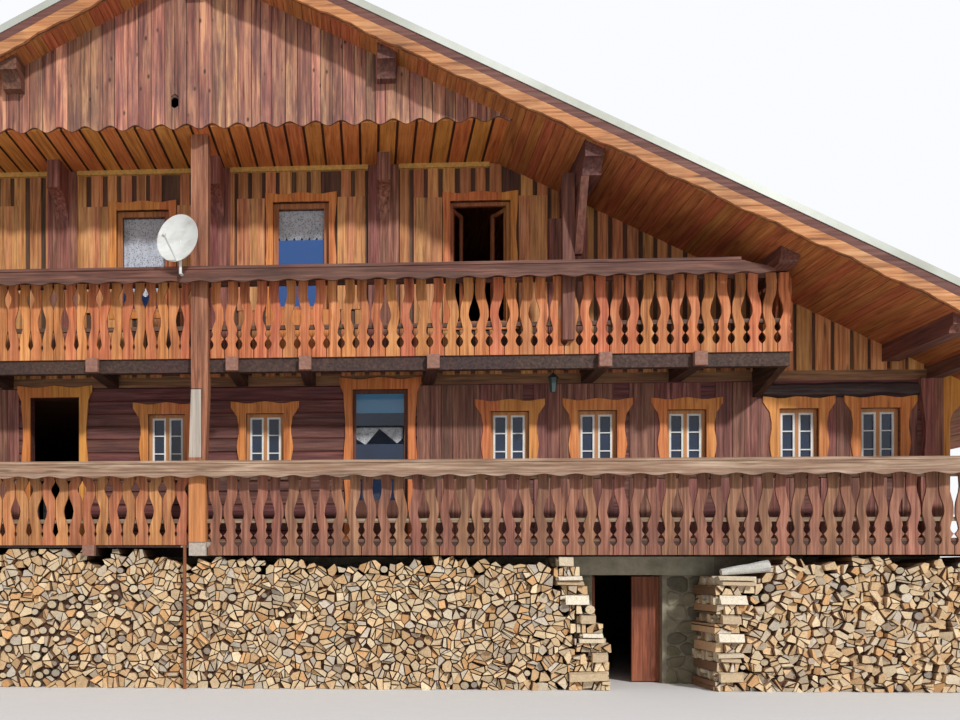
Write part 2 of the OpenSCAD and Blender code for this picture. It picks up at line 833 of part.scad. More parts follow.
// One board in a cell of the width pitch; flip swaps its two sides
module fret_board_2d(ref, side_a, side_b, pitch, h, flip) {
    fx = pitch / ref[0];
    fz = h / ref[1];
    low = [for (p = side_a) [p[1] * fx, p[0] * fz]];
    high = [for (p = side_b) [pitch - p[1] * fx, p[0] * fz]];
    translate([flip ? pitch : 0, 0]) scale([flip ? -1 : 1, 1]) polygon(concat(low, reversed(high)));
}

module right_board_2d(pitch, h, flip) {
    lens = concat(bulb_gap, eased(right_lens));
    tulip = concat(bulb_gap, eased(right_tulip));
    fret_board_2d(right_ref, lens, tulip, pitch, h, flip);
}

module left_board_2d(pitch, h, flip) {
    fret_board_2d(left_ref, eased(left_low), eased(left_high), pitch, h, flip);
}

// Row of boards over a run, in mirrored pairs
module fret_row_2d(run, h, pitch, left) {
    n = round(run / pitch);
    p = run / n;
    for (i = [0:n - 1]) translate([i * p, 0]) if (left) left_board_2d(p, h, i % 2 == 1);
        else right_board_2d(p, h, i % 2 == 1);
}

fret_gap = 12;
return_drop = 60;

// Boards from x0 outwards to x1, and boards along Y that close the end of the balcony
module balustrade(x0, x1, z0, z1, pitch, left) {
    plate_xz(fret_y, fret_t) translate([x0, z0]) fret_row_2d(x1 - x0, z1 - z0, pitch, left);
    plate_yz(x1 - fret_t, fret_t) translate([fret_y + fret_t, z0])
        fret_row_2d(balcony_out - fret_t, z1 - z0 - return_drop, pitch, left);
}

upper_post_right = post_half - post_shift;
upper_post_left = post_half + post_shift;
lower_post_right = post_half + post_foot_x;
lower_post_left = post_half - post_foot_x;

module upper_balustrade_right() {
    color("chocolate") balustrade(upper_post_right + fret_gap, upper_balcony_x, upper_fret_z, upper_fret_top,
        upper_right_pitch, false);
}

module upper_balustrade_left() {
    color("chocolate") mirror([1, 0, 0]) balustrade(upper_post_left + fret_gap, upper_balcony_x,
        upper_fret_z, upper_fret_top, upper_left_pitch, true);
}

module lower_balustrade_right() {
    color("chocolate") balustrade(lower_post_right + fret_gap, gallery_x, lower_fret_z, lower_fret_top,
        lower_right_pitch, false);
}

module lower_balustrade_left() {
    color("chocolate") mirror([1, 0, 0]) balustrade(lower_post_left + fret_gap, gallery_x, left_fret_z,
        lower_fret_top, lower_left_pitch, true);
}

// Handrails: a front board that passes in front of the posts, a cap over it, and rails behind the fretwork
wave_depth = 34;
cap_lip = 15;
taper_run = 480;

// Upper edge from the tip of a tapered end inwards, as shares of the run and of the height
taper_curve = [[0, 0], [0.1, 0.19], [0.37, 0.52], [0.69, 0.74], [0.9, 0.96], [1, 1]];

// Board from the middle to x1; tapered, it runs out in a curve at its end
module front_board_2d(x1, top, h, pitch, tapered) {
    high = top - cap_t;
    fall = h - wave_depth;
    end = tapered ? [for (p = taper_curve) [x1 - taper_run * p[0], high - fall * (1 - p[1])]] : [[x1, high]];
    polygon(concat(wave(0, x1, high - h, wave_depth, 2 * pitch), end, [[0, high]]));
}

// Cap over the front board and the fretwork, half the length on each side
module rail_cap(half, out, top) {
    box(-half, half, fret_y - out - cap_lip, fret_y + fret_t + inner_rail, top - cap_t, top);
}

// Rails behind the fretwork on one side, from the post to x1; the top one reaches the cap up to cap_x
module side_rails(x0, x1, cap_x, top, fret_top, low_rail_z) {
    y = fret_y + fret_t;
    box(x0, x1 - fret_t, y, y + inner_rail, fret_top - inner_rail, fret_top);
    box(x0, cap_x, y, y + inner_rail, fret_top, top - cap_t);
    box(x0, x1 - fret_t, y, y + inner_rail, low_rail_z, low_rail_z + inner_rail);
}

// Rails along Y behind the boards that close the end of a balcony
module return_rails(x1, y1, fret_top, low_rail_z) {
    for (z = [low_rail_z, fret_top - return_drop - inner_rail])
        box(x1 - fret_t - inner_rail, x1 - fret_t, fret_y + fret_t + inner_rail, y1, z, z + inner_rail);
}

upper_low_rail_h = 380;
lower_low_rail_h = 240;
upper_low_rail = upper_deck_z + upper_low_rail_h;
lower_low_rail = lower_deck_z + lower_low_rail_h;
end_gap = 70;
upper_board_x = purlin_x3 - purlin_w / 2 - end_gap;
upper_cap_x = upper_board_x - taper_run;

module upper_side_rails(x0) {
    side_rails(x0, upper_balcony_x, upper_board_x, upper_rail_z, upper_fret_top, upper_low_rail);
}

module upper_balcony_rails() {
    top = upper_rail_z;
    color("gray") {
        both_sides() {
            plate_xz(fret_y - upper_rail_out, rail_t)
                front_board_2d(upper_board_x, top, upper_board_h, upper_right_pitch, true);
            return_rails(upper_balcony_x, front_y, upper_fret_top, upper_low_rail);
        }
        upper_side_rails(upper_post_right);
        mirror([1, 0, 0]) upper_side_rails(upper_post_left);
        difference() {
            rail_cap(upper_cap_x, upper_rail_out, top);
            both_sides() box(side_post_x - side_post_w / 2, side_post_x + side_post_w / 2,
                fret_y - side_post_d, fret_y, top - cap_t - 1, top + 1);
            post_notch(-post_shift, top - cap_t, top);
        }
    }
}

module lower_side_rails(x0) {
    side_rails(x0, gallery_x, gallery_x - fret_t, lower_rail_z, lower_fret_top, lower_low_rail);
}

module lower_balcony_rails() {
    top = lower_rail_z;
    color("gray") {
        both_sides() {
            plate_xz(fret_y - lower_rail_out, rail_t)
                front_board_2d(gallery_x, top, lower_board_h, lower_right_pitch, false);
            box(gallery_x - fret_t - inner_rail, gallery_x, fret_y + fret_t + inner_rail, front_y - arch_t,
                top - cap_t, top);
            return_rails(gallery_x, front_y - arch_t, lower_fret_top, lower_low_rail);
        }
        lower_side_rails(lower_post_right);
        mirror([1, 0, 0]) lower_side_rails(lower_post_left);
        difference() {
            rail_cap(gallery_x, lower_rail_out, top);
            post_notch(post_foot_x, top - cap_t, top);
        }
    }
}

// Windows: carved surrounds, frames with two casements, glass and shutters
head_h = 190;
upper_head_h = 150;
sill_h = 100;
jamb_wave = 18;
jamb_n = 10;
ear_drop = 50;

// Two waves over the steps 0 to jamb_n
function double_wave(i) = jamb_wave * cos(2 * 360 * i / jamb_n);

// Jamb of the width w with a waved outer edge, from height low to height high
function jamb_edge(x, side, w, low, high) = [for (i = [0:jamb_n])
    [x + side * (w - jamb_wave + double_wave(i)), low + (high - low) * i / jamb_n]];

// Waved top of a head board, from x0 down to x1
function head_top(x0, x1, z) = [for (i = [0:jamb_n]) [x0 + (x1 - x0) * i / jamb_n, z + double_wave(i)]];

module surround_2d(o, low, w, ear, h) {
    x0 = o[0] - o[1] / 2;
    x1 = o[0] + o[1] / 2;
    difference() {
        union() {
            polygon(concat([[x0, low], [x1, low]], jamb_edge(x1, 1, w, low, o[3]),
                reversed(jamb_edge(x0, -1, w, low, o[3]))));
            polygon(concat([[x0 - w, o[3] - ear_drop], [x1 + w, o[3] - ear_drop],
                [x1 + w + ear, o[3] + h / 2]], head_top(x1 + w + ear, x0 - w - ear, o[3] + h - jamb_wave),
                [[x0 - w - ear, o[3] + h / 2]]));
        }
        opening_2d(o);
    }
}

gallery_arch = [half_w + (gallery_w - fret_t) / 2, gallery_w - 270, lower_deck_z, upper_floor_z - 370];

// Framed arch across the gallery beside the corner of the house: two jambs and a head seated on them
module gallery_frame_2d() {
    o = gallery_arch;
    spring_z = o[3] - o[1] / 2;
    outer_x = gallery_x - fret_t;
    translate([half_w, o[2]]) square([o[0] - o[1] / 2 - half_w, spring_z - o[2]]);
    translate([o[0] + o[1] / 2, o[2]]) square([outer_x - o[0] - o[1] / 2, spring_z - o[2]]);
    difference() {
        under_roof_2d(half_w, outer_x, spring_z + seat);
        translate([o[0], spring_z]) circle(d = o[1]);
    }
}

module gallery_arches() {
    color("sandybrown") both_sides() plate_xz(front_y - arch_t, arch_t) gallery_frame_2d();
}

door_ear_w = 60;

module window_surrounds() {
    color("sandybrown") plate_xz(front_y - surround_t, surround_t) {
        for (o = middle_windows) surround_2d(o, o[2] - sill_h, surround_w, ear_w, head_h);
        for (o = [hall_door, glazed_door]) surround_2d([o[0], o[1], lower_deck_z, o[3]], lower_deck_z,
            surround_w, door_ear_w, head_h);
        for (o = upper_openings) surround_2d(o, o[2] - sill_h, upper_surround_w, 0, upper_head_h);
    }
}

attic_frame_w = 80;

// Frame with members of the width m, or with two casements
module window_frame_2d(o, casements, m = frame_w) {
    difference() {
        opening_2d(o);
        if (casements) {
            w = (o[1] - 3 * frame_w) / 2;
            for (s = [-1, 1]) opening_2d([o[0] + s * (w + frame_w) / 2, w, o[2] + frame_w, o[3] - frame_w]);
        } else opening_2d([o[0], o[1] - 2 * m, o[2] + m, o[3] - m]);
    }
}

// Casement that stands open inwards, hung at the left end of its width
casement_t = 40;
casement_angle = 62;

module open_casement(w, h) {
    rotate([0, 0, casement_angle]) plate_xz(0, casement_t) difference() {
        square([w, h]);
        translate([frame_w, frame_w]) square([w - 2 * frame_w, h - 2 * frame_w]);
    }
}

module window_frames() {
    color("sienna") {
        plate_xz(front_y + frame_set, frame_t) {
            for (o = middle_windows) window_frame_2d(o, true);
            difference() {
                opening_2d(glazed_door);
                pane_2d(glazed_door, door_panel_h);
            }
            for (o = upper_windows) window_frame_2d(o, false, attic_frame_w);
            for (o = casement_windows) window_frame_2d(o, false);
        }
        for (o = casement_windows) translate([o[0], front_y + frame_set + frame_t, o[2] + frame_w])
            both_sides() translate([-o[1] / 2 + frame_w, 0, 0])
                open_casement(o[1] / 2 - frame_w, o[3] - o[2] - 2 * frame_w);
        plate_xz(back_y - frame_set - frame_t, frame_t)
            for (o = concat(back_middle_windows, back_upper_windows)) window_frame_2d(o, true);
        both_sides() for (o = side_windows) plate_yz(half_w - frame_set - frame_t, frame_t)
            translate([(front_y + back_y) / 2, 0]) window_frame_2d(o, true);
    }
}

glass_set = frame_set + frame_t / 2;
door_panel_h = 700;

module pane_2d(o, low = 0, m = frame_w) {
    opening_2d([o[0], o[1] - 2 * m, o[2] + max(m, low), o[3] - m]);
}

// Each casement has its own pane between the members of the frame
module casement_panes_2d(o) {
    w = (o[1] - 3 * frame_w) / 2;
    for (s = [-1, 1]) opening_2d([o[0] + s * (w + frame_w) / 2, w, o[2] + frame_w, o[3] - frame_w]);
}

module middle_glazing() {
    color("lightblue") {
        for (o = middle_windows) plate_xz(front_y + glass_set, glass_t) casement_panes_2d(o);
        plate_xz(front_y + glass_set, glass_t) pane_2d(glazed_door, door_panel_h);
        for (o = back_middle_windows) plate_xz(back_y - glass_set, glass_t) casement_panes_2d(o);
        both_sides() for (o = side_windows) plate_yz(half_w - glass_set, glass_t)
            translate([(front_y + back_y) / 2, 0]) casement_panes_2d(o);
    }
}

module upper_glazing() {
    color("lightblue") {
        for (o = upper_windows) plate_xz(front_y + glass_set, glass_t) pane_2d(o, 0, attic_frame_w);
        for (o = back_upper_windows) plate_xz(back_y - glass_set, glass_t) casement_panes_2d(o);
    }
}

// Shutters laid back against the wall beside the attic openings
shutter_t = 35;
shutter_w = 440;
shutter_rise = 60;
window_gap = 15;
casement_gap = 10;

module shutter_pair(o, gap) {
    for (s = [-1, 1]) {
        x = o[0] + s * (o[1] / 2 + upper_surround_w + gap + shutter_w / 2);
        box(x - shutter_w / 2, x + shutter_w / 2, front_y - shutter_t, front_y, o[2], o[3] + shutter_rise);
    }
}

module shutters() {
    color("peru") {
        for (o = upper_windows) shutter_pair(o, window_gap);
        for (o = casement_windows) shutter_pair(o, casement_gap);
    }
}

// Satellite dish on a bent arm from the handrail
dish_d = 680;
dish_depth = 75;
dish_t = 14;
dish_x = -255;
dish_rise = 345;
dish_tilt = 4;
dish_turn = 22;
arm_r = 22;
arm_out = 110;
arm_rise = -120;
feed_r = 12;
feed_block = [24, 60];
feed_reach = 420;
feed_rise = 36;
dish_steps = 8;

function dish_curve(r, lift) = [r, lift + dish_depth * pow(2 * r / dish_d, 2)];

module dish_shell() {
    rim = dish_d / 2;
    rotate_extrude() polygon(concat([for (i = [0:dish_steps]) dish_curve(rim * i / dish_steps, 0)],
        [for (i = [dish_steps:-1:0]) dish_curve(rim * i / dish_steps, dish_t)]));
}

module dish_feed() {
    translate([0, feed_r - dish_d / 2, dish_depth]) rotate([-feed_rise, 0, 0]) {
        cylinder(r = feed_r, h = feed_reach);
        translate([0, 0, feed_reach]) rotate([90, 0, 0])
            cylinder(r = feed_block[0], h = feed_block[1], center = true);
    }
}

// The dish is turned to the left
module satellite_dish() {
    color("white") translate([dish_x, fret_y - upper_rail_out - arm_out, upper_rail_z]) mirror([1, 0, 0]) {
        translate([0, 0, dish_rise]) rotate([90 - dish_tilt, 0, dish_turn]) {
            dish_shell();
            dish_feed();
        }
        translate([0, 0, arm_rise]) {
            rotate([-90, 0, 0]) cylinder(r = arm_r, h = arm_out);
            translate([0, 0, -arm_r]) cylinder(r = arm_r, h = dish_rise - arm_rise + arm_r);
        }
    }
}

// Lantern that hangs under the deck of the upper balcony
lantern_x = 5180;
lantern_y = fret_y + 340;
lantern_drop = 490;
lantern_r = 70;
lantern_foot_r = 42;
lantern_cap_r = 88;
lantern_h = 210;
lantern_cap_h = 80;
lantern_rod_r = 8;

module lantern() {
    color("darkslategray") translate([lantern_x, lantern_y, upper_fret_z - lantern_drop]) {
        cylinder(r1 = lantern_foot_r, r2 = lantern_r, h = lantern_h, $fn = 6);
        translate([0, 0, lantern_h])
            cylinder(r1 = lantern_cap_r, r2 = lantern_rod_r, h = lantern_cap_h, $fn = 6);
        cylinder(r = lantern_rod_r, h = lantern_drop);
    }
}

// Firewood stacked against the cellar wall
// Stepped end of the left stack, where the logs lie crosswise
stack_courses = 14;
plumb_courses = 4;
stack_past = 30;
function stack_end_x(i) = door_x + stack_past - max(0, i - plumb_courses) * stack_step;
course_h = stack_h / stack_courses;
function course_end(i) = [[stack_end_x(i), i * course_h], [stack_end_x(i), (i + 1) * course_h]];

module woodpile_left_2d() {
    steps = [for (i = [0:stack_courses - 1]) each course_end(i)];
    polygon(concat([[-gallery_x, 0]], steps, [[-gallery_x, stack_h]]));
}

module woodpile_left() {
    color("wheat") plate_xz(fret_y, balcony_out) woodpile_left_2d();
}

doorway_clear = 430;
right_stack_x = door_x + door_w + doorway_clear;

module woodpile_right() {
    color("wheat") box(right_stack_x, gallery_x, fret_y, front_y, 0, stack_h);
}

pole_r = 25;
pole_x = -280;

module stack_pole() {
    color("brown") translate([pole_x, fret_y - pole_r, 0]) cylinder(r = pole_r, h = left_fret_z);
}

cellar_wall_front_left();
cellar_wall_front_right();
cellar_lintel();
cellar_wall_left();
cellar_wall_right();
cellar_wall_back();
cellar_door_left();
cellar_door_right();
door_pintles();
middle_floor();
middle_wall_front();
middle_wall_left();
middle_wall_right();
middle_wall_back();
upper_floor();
upper_wall_front();
upper_wall_back();
roof_left();
roof_right();
roof_covering();
verge_boards();
purlins();
gable_boarding();
gable_ceiling();
wall_consoles();
centre_post();
side_posts();
upper_balcony_deck();
upper_balcony_joists();
upper_balustrade_left();
upper_balustrade_right();
upper_balcony_rails();
lower_balcony_deck();
lower_balcony_joists();
lower_balustrade_left();
lower_balustrade_right();
lower_balcony_rails();
gallery_arches();
window_surrounds();
window_frames();
middle_glazing();
upper_glazing();
shutters();
satellite_dish();
lantern();
woodpile_left();
woodpile_right();
stack_pole();
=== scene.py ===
import math
import random

import bmesh
import bpy
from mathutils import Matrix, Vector


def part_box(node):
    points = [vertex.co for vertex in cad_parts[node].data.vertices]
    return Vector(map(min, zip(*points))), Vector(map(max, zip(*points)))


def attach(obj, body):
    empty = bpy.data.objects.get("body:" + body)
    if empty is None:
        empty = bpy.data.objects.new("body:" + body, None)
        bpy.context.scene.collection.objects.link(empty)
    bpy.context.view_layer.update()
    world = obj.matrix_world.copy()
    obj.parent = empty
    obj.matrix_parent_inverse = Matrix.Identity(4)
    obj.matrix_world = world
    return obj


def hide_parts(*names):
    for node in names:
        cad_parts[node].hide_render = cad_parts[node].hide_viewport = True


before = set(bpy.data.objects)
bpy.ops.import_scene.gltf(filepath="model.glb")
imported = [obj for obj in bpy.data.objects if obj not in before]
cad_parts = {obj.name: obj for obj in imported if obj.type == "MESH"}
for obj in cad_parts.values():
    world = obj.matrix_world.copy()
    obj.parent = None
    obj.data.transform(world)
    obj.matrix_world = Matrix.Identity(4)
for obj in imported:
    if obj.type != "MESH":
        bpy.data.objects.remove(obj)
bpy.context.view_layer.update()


def placed(name, data):
    """A new object in the scene"""
    made = bpy.data.objects.new(name, data)
    bpy.context.scene.collection.objects.link(made)
    return made


# Camera at the photograph's place: in front of the house, a little right of the ridge, at eye level
eye = (2.46, -21.985, 1.66)
camera_turn = 3.15
cam_data = bpy.data.cameras.new("camera")
cam_data.lens = 37.125
cam_data.sensor_width = 36.0
cam_data.shift_x = 0.1713
cam_data.shift_y = 0.2260
cam_data.clip_end = 200
cam = placed("camera", cam_data)
cam.location = eye
cam.rotation_euler = (math.pi / 2, 0, math.radians(camera_turn))
bpy.context.scene.camera = cam

# Sizes that the pieces share, in metres, read from the frame where it has them
half_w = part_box("middle_wall_front")[1].x
front_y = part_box("cellar_lintel")[0].y
back_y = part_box("cellar_wall_back")[1].y
middle_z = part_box("middle_wall_front")[0].z
upper_floor_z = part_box("middle_wall_front")[1].z
upper_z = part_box("upper_wall_front")[0].z
ceiling_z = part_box("gable_ceiling")[1].z - 0.03
screen_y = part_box("gable_boarding")[0].y
fret_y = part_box("upper_balustrade_right")[0].y
gallery_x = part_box("lower_balustrade_right")[1].x
upper_balcony_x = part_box("upper_balustrade_right")[1].x
verge_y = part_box("roof_right")[1].y
eaves_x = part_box("roof_right")[1].x
roof_t = 0.39
sheet_t = 0.03
slope = math.tan(math.radians(26.5))
soffit_ridge_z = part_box("roof_right")[1].z - roof_t
cellar_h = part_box("cellar_wall_back")[1].z
door_x0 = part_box("cellar_wall_front_left")[1].x
door_x1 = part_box("cellar_wall_front_right")[0].x
stack_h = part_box("woodpile_right")[1].z
frame_w = 0.055
frame_set = 0.06
corner_strip = 0.34


def soffit(x):
    return soffit_ridge_z - slope * abs(x)


# Openings as (wall, centre along the wall, width, sill, head)
window_w = 0.6
middle_sill = middle_z + 1.12
middle_head = upper_floor_z - 0.435
seam_gap = 0.011
ear_reach = 0.095
jamb_w = 0.15
corner_window_x = half_w - corner_strip - seam_gap - ear_reach - jamb_w - window_w / 2
middle_xs = [share * half_w for share in (0.0705, 0.4152, 0.5366, 0.6589, 0.8107)] + [corner_window_x]
middle_windows = [("front", side * x, window_w, middle_sill, middle_head)
                  for x in middle_xs for side in (-1, 1)]
hall_door = ("front", -0.233 * half_w, 0.8, middle_z, upper_floor_z - 0.15)
glazed_door = ("front", 0.234 * half_w, 0.87, middle_z, upper_floor_z - 0.07)
purlin_x1 = 2.69
bay = 2.86
upper_sill = upper_z + 1.02
attic_frame_w = 0.08
left_window = ("front", -0.4387 * purlin_x1, 0.85, upper_sill, ceiling_z - 0.63)
right_window = ("front", 0.5074 * purlin_x1, 0.89, upper_sill, ceiling_z - 0.55)
casement_x = purlin_x1 + 0.525 * bay
casement_windows = [("front", side * casement_x, 0.329 * bay, upper_z + 0.77, ceiling_z - 0.59)
                    for side in (-1, 1)]
middle_y = (front_y + back_y) / 2
side_windows = [(wall, middle_y + share * (back_y - front_y), window_w, middle_sill, middle_head)
                for share in (-0.265, 0, 0.265) for wall in ("left", "right")]
back_windows = [("back", share * half_w, window_w, middle_sill, middle_head)
                for share in (-0.66, -0.33, 0, 0.33, 0.66)]
back_upper_windows = [("back", side * 0.23 * half_w, 0.8, upper_sill, ceiling_z - 0.87)
                      for side in (-1, 1)]


def holes(openings):
    """The openings as (u0, u1, z0, z1)"""
    return [(o[1] - o[2] / 2, o[1] + o[2] / 2, o[3], o[4]) for o in openings]


# Places on a wall: u runs along it, d goes in from its outer face
def facing_front(y):
    return lambda u, d, z: (u, y + d, z)


on_front = facing_front(front_y)
on_screen = facing_front(screen_y)
on_stack = facing_front(fret_y)
along_y = facing_front(0.0)
walls = {
    "front": on_front,
    "back": lambda u, d, z: (u, back_y - d, z),
    "left": lambda u, d, z: (d - half_w, u, z),
    "right": lambda u, d, z: (half_w - d, u, z),
}


class Shapes:
    """Points and faces of a piece that is made of many solids"""

    def __init__(self):
        self.points = []
        self.faces = []

    def add(self, points, faces):
        start = len(self.points)
        self.points += points
        self.faces += [[start + i for i in face] for face in faces]

    def plate(self, place, outline, d0, d1, tilt=(0.0, 0.0)):
        """An outline of (u, z) points from the depth d0 to d1, with its first face tilted"""
        n = len(outline)
        u0 = sum(p[0] for p in outline) / n
        z0 = sum(p[1] for p in outline) / n
        first = [place(u, d0 + tilt[0] * (u - u0) + tilt[1] * (z - z0), z) for u, z in outline]
        last = [place(u, d1, z) for u, z in outline]
        sides = [[i, (i + 1) % n, (i + 1) % n + n, i + n] for i in range(n)]
        self.add(first + last, [list(range(n)), list(range(n, 2 * n))[::-1]] + sides)

    def box(self, place, u0, u1, d0, d1, z0, z1):
        self.plate(place, [(u0, z0), (u1, z0), (u1, z1), (u0, z1)], d0, d1)

    def ring(self, place, outer, inner, d0, d1):
        """A frame between two rectangles (u0, u1, z0, z1)"""
        self.box(place, outer[0], inner[0], d0, d1, outer[2], outer[3])
        self.box(place, inner[1], outer[1], d0, d1, outer[2], outer[3])
        self.box(place, inner[0], inner[1], d0, d1, outer[2], inner[2])
        self.box(place, inner[0], inner[1], d0, d1, inner[3], outer[3])

    def piece(self, name, slot, material, replaces=()):
        mesh = bpy.data.meshes.new(name)
        mesh.from_pydata(self.points, [], self.faces)
        work = bmesh.new()
        work.from_mesh(mesh)
        bmesh.ops.recalc_face_normals(work, faces=work.faces)
        work.to_mesh(mesh)
        work.free()
        mesh.materials.append(material)
        piece = placed(name, mesh)
        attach(piece, "root")
        if replaces:
            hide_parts(*replaces)


def loft(rings):
    """Points, end faces and side faces of a solid through rings of points"""
    n = len(rings[0])
    spans = len(rings) - 1
    ends = [list(range(n)), list(range(spans * n, spans * n + n))]
    sides = [[i * n + j, i * n + (j + 1) % n, (i + 1) * n + (j + 1) % n, (i + 1) * n + j]
             for i in range(spans) for j in range(n)]
    return [point for ring in rings for point in ring], ends, sides


# Materials
def screen_colour(r, g, b):
    """Linear colour of a colour given as on a screen, 0 to 255"""
    linear = [c / 255 / 12.92 if c <= 10 else ((c / 255 + 0.055) / 1.055) ** 2.4 for c in (r, g, b)]
    return (*linear, 1.0)


class Paint:
    """Node builder for one material; all colours are given as on a screen"""

    def __init__(self, name):
        self.material = bpy.data.materials.new(name)
        self.material.use_nodes = True
        self.tree = self.material.node_tree
        self.shader = self.tree.nodes["Principled BSDF"]
        self.coords = self.node("ShaderNodeTexCoord").outputs["Object"]

    def node(self, kind, settings=(), **inputs):
        made = self.tree.nodes.new(kind)
        for key, value in dict(settings).items():
            setattr(made, key, value)
        for key, value in inputs.items():
            self.put(made.inputs[int(key[1:]) if key[1:].isdigit() else key.replace("_", " ")], value)
        return made

    def put(self, socket, value):
        if isinstance(value, bpy.types.NodeSocket):
            self.tree.links.new(value, socket)
        else:
            socket.default_value = screen_colour(*value) if socket.type == "RGBA" else value

    def vector(self, operation, a, b=(0, 0, 0)):
        return self.node("ShaderNodeVectorMath", {"operation": operation}, i0=a, i1=b).outputs["Vector"]

    def math(self, operation, a, b=0.0):
        return self.node("ShaderNodeMath", {"operation": operation}, i0=a, i1=b).outputs[0]

    def ranged(self, value, low, high, to_low, to_high):
        return self.node("ShaderNodeMapRange", Value=value, From_Min=low, From_Max=high, To_Min=to_low,
                         To_Max=to_high).outputs[0]

    def noise(self, coords, scale, detail=5.0, roughness=0.6, distortion=0.0):
        return self.node("ShaderNodeTexNoise", Vector=self.vector("MULTIPLY", coords, scale), Scale=1.0,
                         Detail=detail, Roughness=roughness, Distortion=distortion).outputs["Fac"]

    def spots(self, coords, scale):
        """Distance to the nearest of scattered points"""
        stretched = self.vector("MULTIPLY", coords, scale)
        return self.node("ShaderNodeTexVoronoi", Vector=stretched, Scale=1.0).outputs["Distance"]

    def ramp(self, value, *stops, constant=False):
        made = self.node("ShaderNodeValToRGB", Fac=value)
        if constant:
            made.color_ramp.interpolation = "CONSTANT"
        elements = made.color_ramp.elements
        while len(elements) < len(stops):
            elements.new(0.5)
        for element, (place, colour) in zip(elements, stops):
            element.position = place
            element.color = screen_colour(*colour)
        return made.outputs["Color"]

    def one_of(self, colours, chance):
        """A colour of the list, by chance"""
        if len(colours) == 1:
            return colours[0]
        return self.ramp(chance, *[(i / len(colours), c) for i, c in enumerate(colours)], constant=True)

    def mix(self, factor, a, b):
        return self.node("ShaderNodeMix", {"data_type": "RGBA"}, i0=factor, i6=a, i7=b).outputs[2]

    def shade(self, colour, value, hue=0.5):
        """The colour made darker or lighter by a value, with its hue turned a little"""
        return self.node("ShaderNodeHueSaturation", Hue=hue, Saturation=1.0, Value=value, Fac=1.0,
                         Color=colour).outputs["Color"]

    def place(self, axis):
        return self.node("ShaderNodeSeparateXYZ", Vector=self.coords).outputs["xyz".index(axis)]

    def within(self, axis, low, high):
        """1 between two places along an axis, and 0 beyond them"""
        place = self.place(axis)
        above = self.math("GREATER_THAN", place, low)
        return self.math("MULTIPLY", above, self.math("LESS_THAN", place, high))

    def near_lines(self, axis, origin, pitch, reach):
        """1 near each of a row of lines, and 0 between them"""
        place = self.math("ABSOLUTE", self.math("SUBTRACT", self.place(axis), origin))
        return self.math("LESS_THAN", self.math("PINGPONG", place, pitch / 2), reach)

    def region(self, *spans):
        """1 in the box given as (axis, low, high) spans or (axis, origin, pitch, reach) rows of lines"""
        mask = 1.0
        for span in spans:
            part = self.within(*span) if len(span) == 3 else self.near_lines(*span)
            mask = self.math("MULTIPLY", mask, part)
        return mask

    def island(self):
        return self.node("ShaderNodeNewGeometry").outputs["Random Per Island"]

    def board(self, origin, pitch):
        """A random number for each cell of a grid, for the boards of one mesh"""
        place = self.vector("DIVIDE", self.vector("SUBTRACT", self.coords, origin), pitch)
        return self.node("ShaderNodeTexWhiteNoise", Vector=self.vector("FLOOR", place)).outputs["Value"]

    def shifted(self, chance):
        """Places moved by a random number, so that no two boards or logs have the same grain"""
        shift = self.vector("SCALE", (13.0, 7.0, 5.0))
        self.put(shift.node.inputs["Scale"], chance)
        return self.vector("ADD", self.coords, shift)

    def finish(self, colour, rough, bump, height, depth=0.004):
        self.put(self.shader.inputs["Base Color"], colour)
        self.put(self.shader.inputs["Roughness"], rough)
        made = self.node("ShaderNodeBump", Strength=bump, Distance=depth, Height=height)
        self.put(self.shader.inputs["Normal"], made.outputs["Normal"])
        return self.material


grain_scales = {"x": (1.1, 24, 24), "y": (24, 1.1, 24), "z": (24, 24, 1.1)}
knot_scales = {"x": (0.9, 5, 5), "y": (5, 0.9, 5), "z": (5, 5, 0.9)}
far = 1000.0


def wood(name, dark, base, light, grain="z", grid=None, spread=0.25, stain=(90, 65, 50), stained=0.35,
         rough=0.68, knots=0.5, marks=(), bands=None, blotches=(0.9, 0.9, 0.9), knot_places=None):
    """Weathered wood whose grain runs along an axis, and whose tone changes from board to board; marks
    are boxes of another colour as (colour, share, spans), and bands a colour that lies in long streaks"""
    paint = Paint(name)
    scale = grain_scales[grain]
    chance = paint.board(*grid) if grid else paint.island()
    coords = paint.shifted(chance)
    streaks = paint.noise(coords, scale, 7.0, 0.62, 0.3)
    fine = paint.noise(coords, tuple(3.5 * c for c in scale), 3.0, 0.6)
    colour = paint.ramp(streaks, (0.3, dark), (0.5, base), (0.72, light))
    if bands:
        runs = paint.noise(coords, tuple(0.32 * c for c in scale), 5.0, 0.7, 0.4)
        colour = paint.mix(paint.ranged(runs, 0.5, 0.62, 0.0, 0.75), colour, bands)
    blotch = paint.noise(coords, blotches, 4.0, 0.65)
    colour = paint.mix(paint.ranged(blotch, 0.42, 0.72, 0.0, stained), colour, stain)
    knot = paint.ranged(paint.spots(coords, knot_places or knot_scales[grain]), 0.06, 0.14, knots, 0.0)
    colour = paint.mix(knot, colour, tuple(0.45 * c for c in dark))
    tone = paint.ranged(chance, 0.0, 1.0, 1.0 - spread, 1.0 + 0.8 * spread)
    hue = paint.ranged(paint.math("FRACT", paint.math("MULTIPLY", chance, 7.31)), 0.0, 1.0, 0.488, 0.512)
    colour = paint.shade(colour, tone, hue)
    for mark, share, spans in marks:
        shade = paint.shade(mark, paint.ranged(streaks, 0.3, 0.7, 0.72, 1.24))
        colour = paint.mix(paint.math("MULTIPLY", paint.region(*spans), share), colour, shade)
    height = paint.math("ADD", streaks, paint.math("MULTIPLY", fine, 0.5))
    roughness = paint.ranged(streaks, 0.3, 0.7, rough + 0.12, rough - 0.08)
    return paint.finish(colour, roughness, 0.5, height, 0.006)


